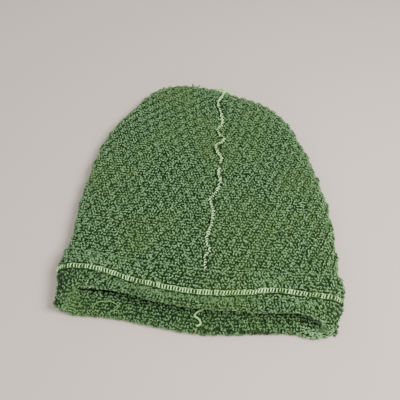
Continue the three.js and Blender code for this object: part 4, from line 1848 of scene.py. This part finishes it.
@dataclass
class LooseEnds:
    """The seam's stitched-down tail, the loose ends of thread, and a pale thread between the tufts that is a
    painted highlight.
    """

    thread: Material
    yarn: Material
    tail: Thread = Thread(
        "seam_tail_thread",
        (
            Turn(6, 15.5, 10.8), Turn(1, 12.5, 10.8), Turn(-1, 9, 10.8),
            Turn(3, 6.5, 10.8), Turn(4.6, 3, 10.8), Turn(1.6, 0.9, 10.7),
        ),
        0.9,
        0.7,
    )
    curl: Thread = Thread(
        "hem_loose_curl",
        (
            Turn(-88, 7, 10.4), Turn(-85, 11, 11.3), Turn(-80, 12.8, 11.6), Turn(-74, 13.2, 11.6),
            Turn(-69, 11.8, 11.5), Turn(-66.6, 9.4, 11.4), Turn(-68, 6.6, 11.3), Turn(-72, 5, 10.6),
        ),
        0.24,
        0.45,
    )
    # Painted highlight: a pale thread that stands for the light caught between the two tufts.
    loose: Thread = Thread(
        "crown_tuft_3", (Turn(-29, 260, 14), Turn(-29.6, 263, 18), Turn(-28.4, 266, 21)), 0.35, 0.9
    )
    tufts: tuple[Thread, ...] = (
        Thread("crown_tuft_1", (Turn(-31.4, 260, 12), Turn(-32.4, 263, 17), Turn(-32, 265.4, 20)), 1.0, 0.2),
        Thread("crown_tuft_2", (Turn(-26.6, 260, 12), Turn(-26, 263, 17), Turn(-24, 264.6, 19.6)), 0.9, 0.25),
    )

    def build(self) -> list[Piece]:
        """Builds the tail and the loose ends.

        Returns:
            Its pieces.
        """
        tail = self.tail.build(self.thread)
        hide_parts("seam_tail")
        pieces = [tail, self.curl.build(self.thread), self.loose.build(self.thread)]
        pieces += [tuft.build(self.yarn) for tuft in self.tufts]
        return finish_pieces(pieces)


# ---- The studio ----


@dataclass(frozen=True)
class Studio:
    """A plain pale floor, soft lights and the camera."""

    azimuth: float = 6.17
    elevation: float = 60.6
    distance: float = 0.4038
    aim: Vec = (-0.0088, -0.0040, 0.0)
    lens: float = 36.0
    floor_reach: float = 4.0
    floor_colour: Colour = (0.635, 0.542, 0.455, 1.0)
    floor_roughness: float = 0.9
    air_colour: Colour = (0.9, 0.95, 1.0, 1.0)
    air_strength: float = 0.42

    def build(self) -> None:
        """Builds the floor, the lights and the camera."""
        self._floor()
        self._light("key_light", (0.45, -0.15, 0.75), 0.3, 11.0)
        self._light("fill_light", (-0.5, 0.3, 0.8), 0.9, 3.0)
        self._light("front_light", (0.05, -0.85, 0.45), 0.8, 3.6)
        world = bpy.data.worlds.new("studio_air")
        world.use_nodes = True
        air = world.node_tree.nodes["Background"].inputs
        air["Color"].default_value = self.air_colour
        air["Strength"].default_value = self.air_strength
        bpy.context.scene.world = world
        self._camera()

    def _floor(self) -> None:
        """Lays the floor under the hat."""
        mesh = bpy.data.meshes.new("floor")
        reach = self.floor_reach
        corners = [(-reach, -reach, 0), (reach, -reach, 0), (reach, reach, 0), (-reach, reach, 0)]
        mesh.from_pydata(corners, [], [(0, 1, 2, 3)])
        made = bpy.data.materials.new("pale_floor")
        made.use_nodes = True
        shader = made.node_tree.nodes["Principled BSDF"].inputs
        shader["Base Color"].default_value = self.floor_colour
        shader["Roughness"].default_value = self.floor_roughness
        mesh.materials.append(made)
        place_object("floor", mesh)

    @staticmethod
    def _light(name: str, place: Vec, size: float, power: float) -> None:
        """Adds a soft square light that faces the hat.

        Args:
            name: Its name.
            place: Where it hangs, in metres.
            size: Its side.
            power: Its power in watts.
        """
        data = bpy.data.lights.new(name, "AREA")
        data.size = size
        data.energy = power
        light = place_object(name, data)
        light.location = place
        light.rotation_euler = (-Vector(place)).to_track_quat("-Z", "Y").to_euler()

    def _camera(self) -> None:
        """Stands the camera at its angle above the floor."""
        data = bpy.data.cameras.new("camera")
        data.lens = self.lens
        data.sensor_width = 36.0
        data.clip_start = 0.01
        camera = place_object("camera", data)
        a, e = math.radians(self.azimuth), math.radians(self.elevation)
        back = Vector((math.sin(a) * math.cos(e), -math.cos(a) * math.cos(e), math.sin(e)))
        camera.location = Vector(self.aim) + back * self.distance
        camera.rotation_euler = (-back).to_track_quat("-Z", "Y").to_euler()
        bpy.context.scene.camera = camera


GREEN_YARN = YarnFinish(
    name="green_knit_yarn",
    deep=(0.008, 0.036, 0.003, 1.0),
    body=(0.108, 0.217, 0.084, 1.0),
    light=(0.275, 0.47, 0.225, 1.0),
    warm=(0.13, 0.22, 0.045, 1.0),
)
# Painted shade: the ground under the loops is coloured near black to stand for the shade between them.
SHADED_GREEN_GROUND = YarnFinish(
    name="green_knit_ground",
    deep=(0.004, 0.016, 0.002, 1.0),
    body=(0.01, 0.035, 0.008, 1.0),
    light=(0.1, 0.19, 0.08, 1.0),
    warm=(0.05, 0.1, 0.02, 1.0),
    bump=0.8,
    mottle=0.4,
)
PALE_THREAD = YarnFinish(
    name="pale_overlock_thread",
    deep=(0.015, 0.07, 0.006, 1.0),
    body=(0.33, 0.6, 0.2, 1.0),
    light=(0.66, 0.97, 0.47, 1.0),
    warm=(0.42, 0.64, 0.2, 1.0),
    bump=0.2,
    fibre_size=1800.0,
    mottle=0.5,
    crest_painted_shading=0.6,
)


def main() -> None:
    """Builds the hat and the studio."""
    logging.basicConfig(level=logging.INFO, format="%(name)s: %(message)s")
    group = wool_group()
    # The ground material carries painted shade for the fabric between the loops.
    yarn, ground, thread = (finish.material(group) for finish in (GREEN_YARN, SHADED_GREEN_GROUND, PALE_THREAD))
    band = HemBand(ground, yarn)
    parts = [
        CrownPanel(Side.LEFT, ground, yarn),
        CrownPanel(Side.RIGHT, ground, yarn),
        band,
        OverlockStrip(band, ground, thread),
        SergedSeam(ground, thread),
        LooseEnds(thread, yarn),
        Fuzz(yarn),
    ]
    for part in parts:
        for piece in part.build():
            triangles = sum(len(face.vertices) - 2 for face in piece.data.polygons)
            LOG.info("%s: %d triangles", piece.name, triangles)
    Studio().build()


if __name__ == "__main__":
    main()
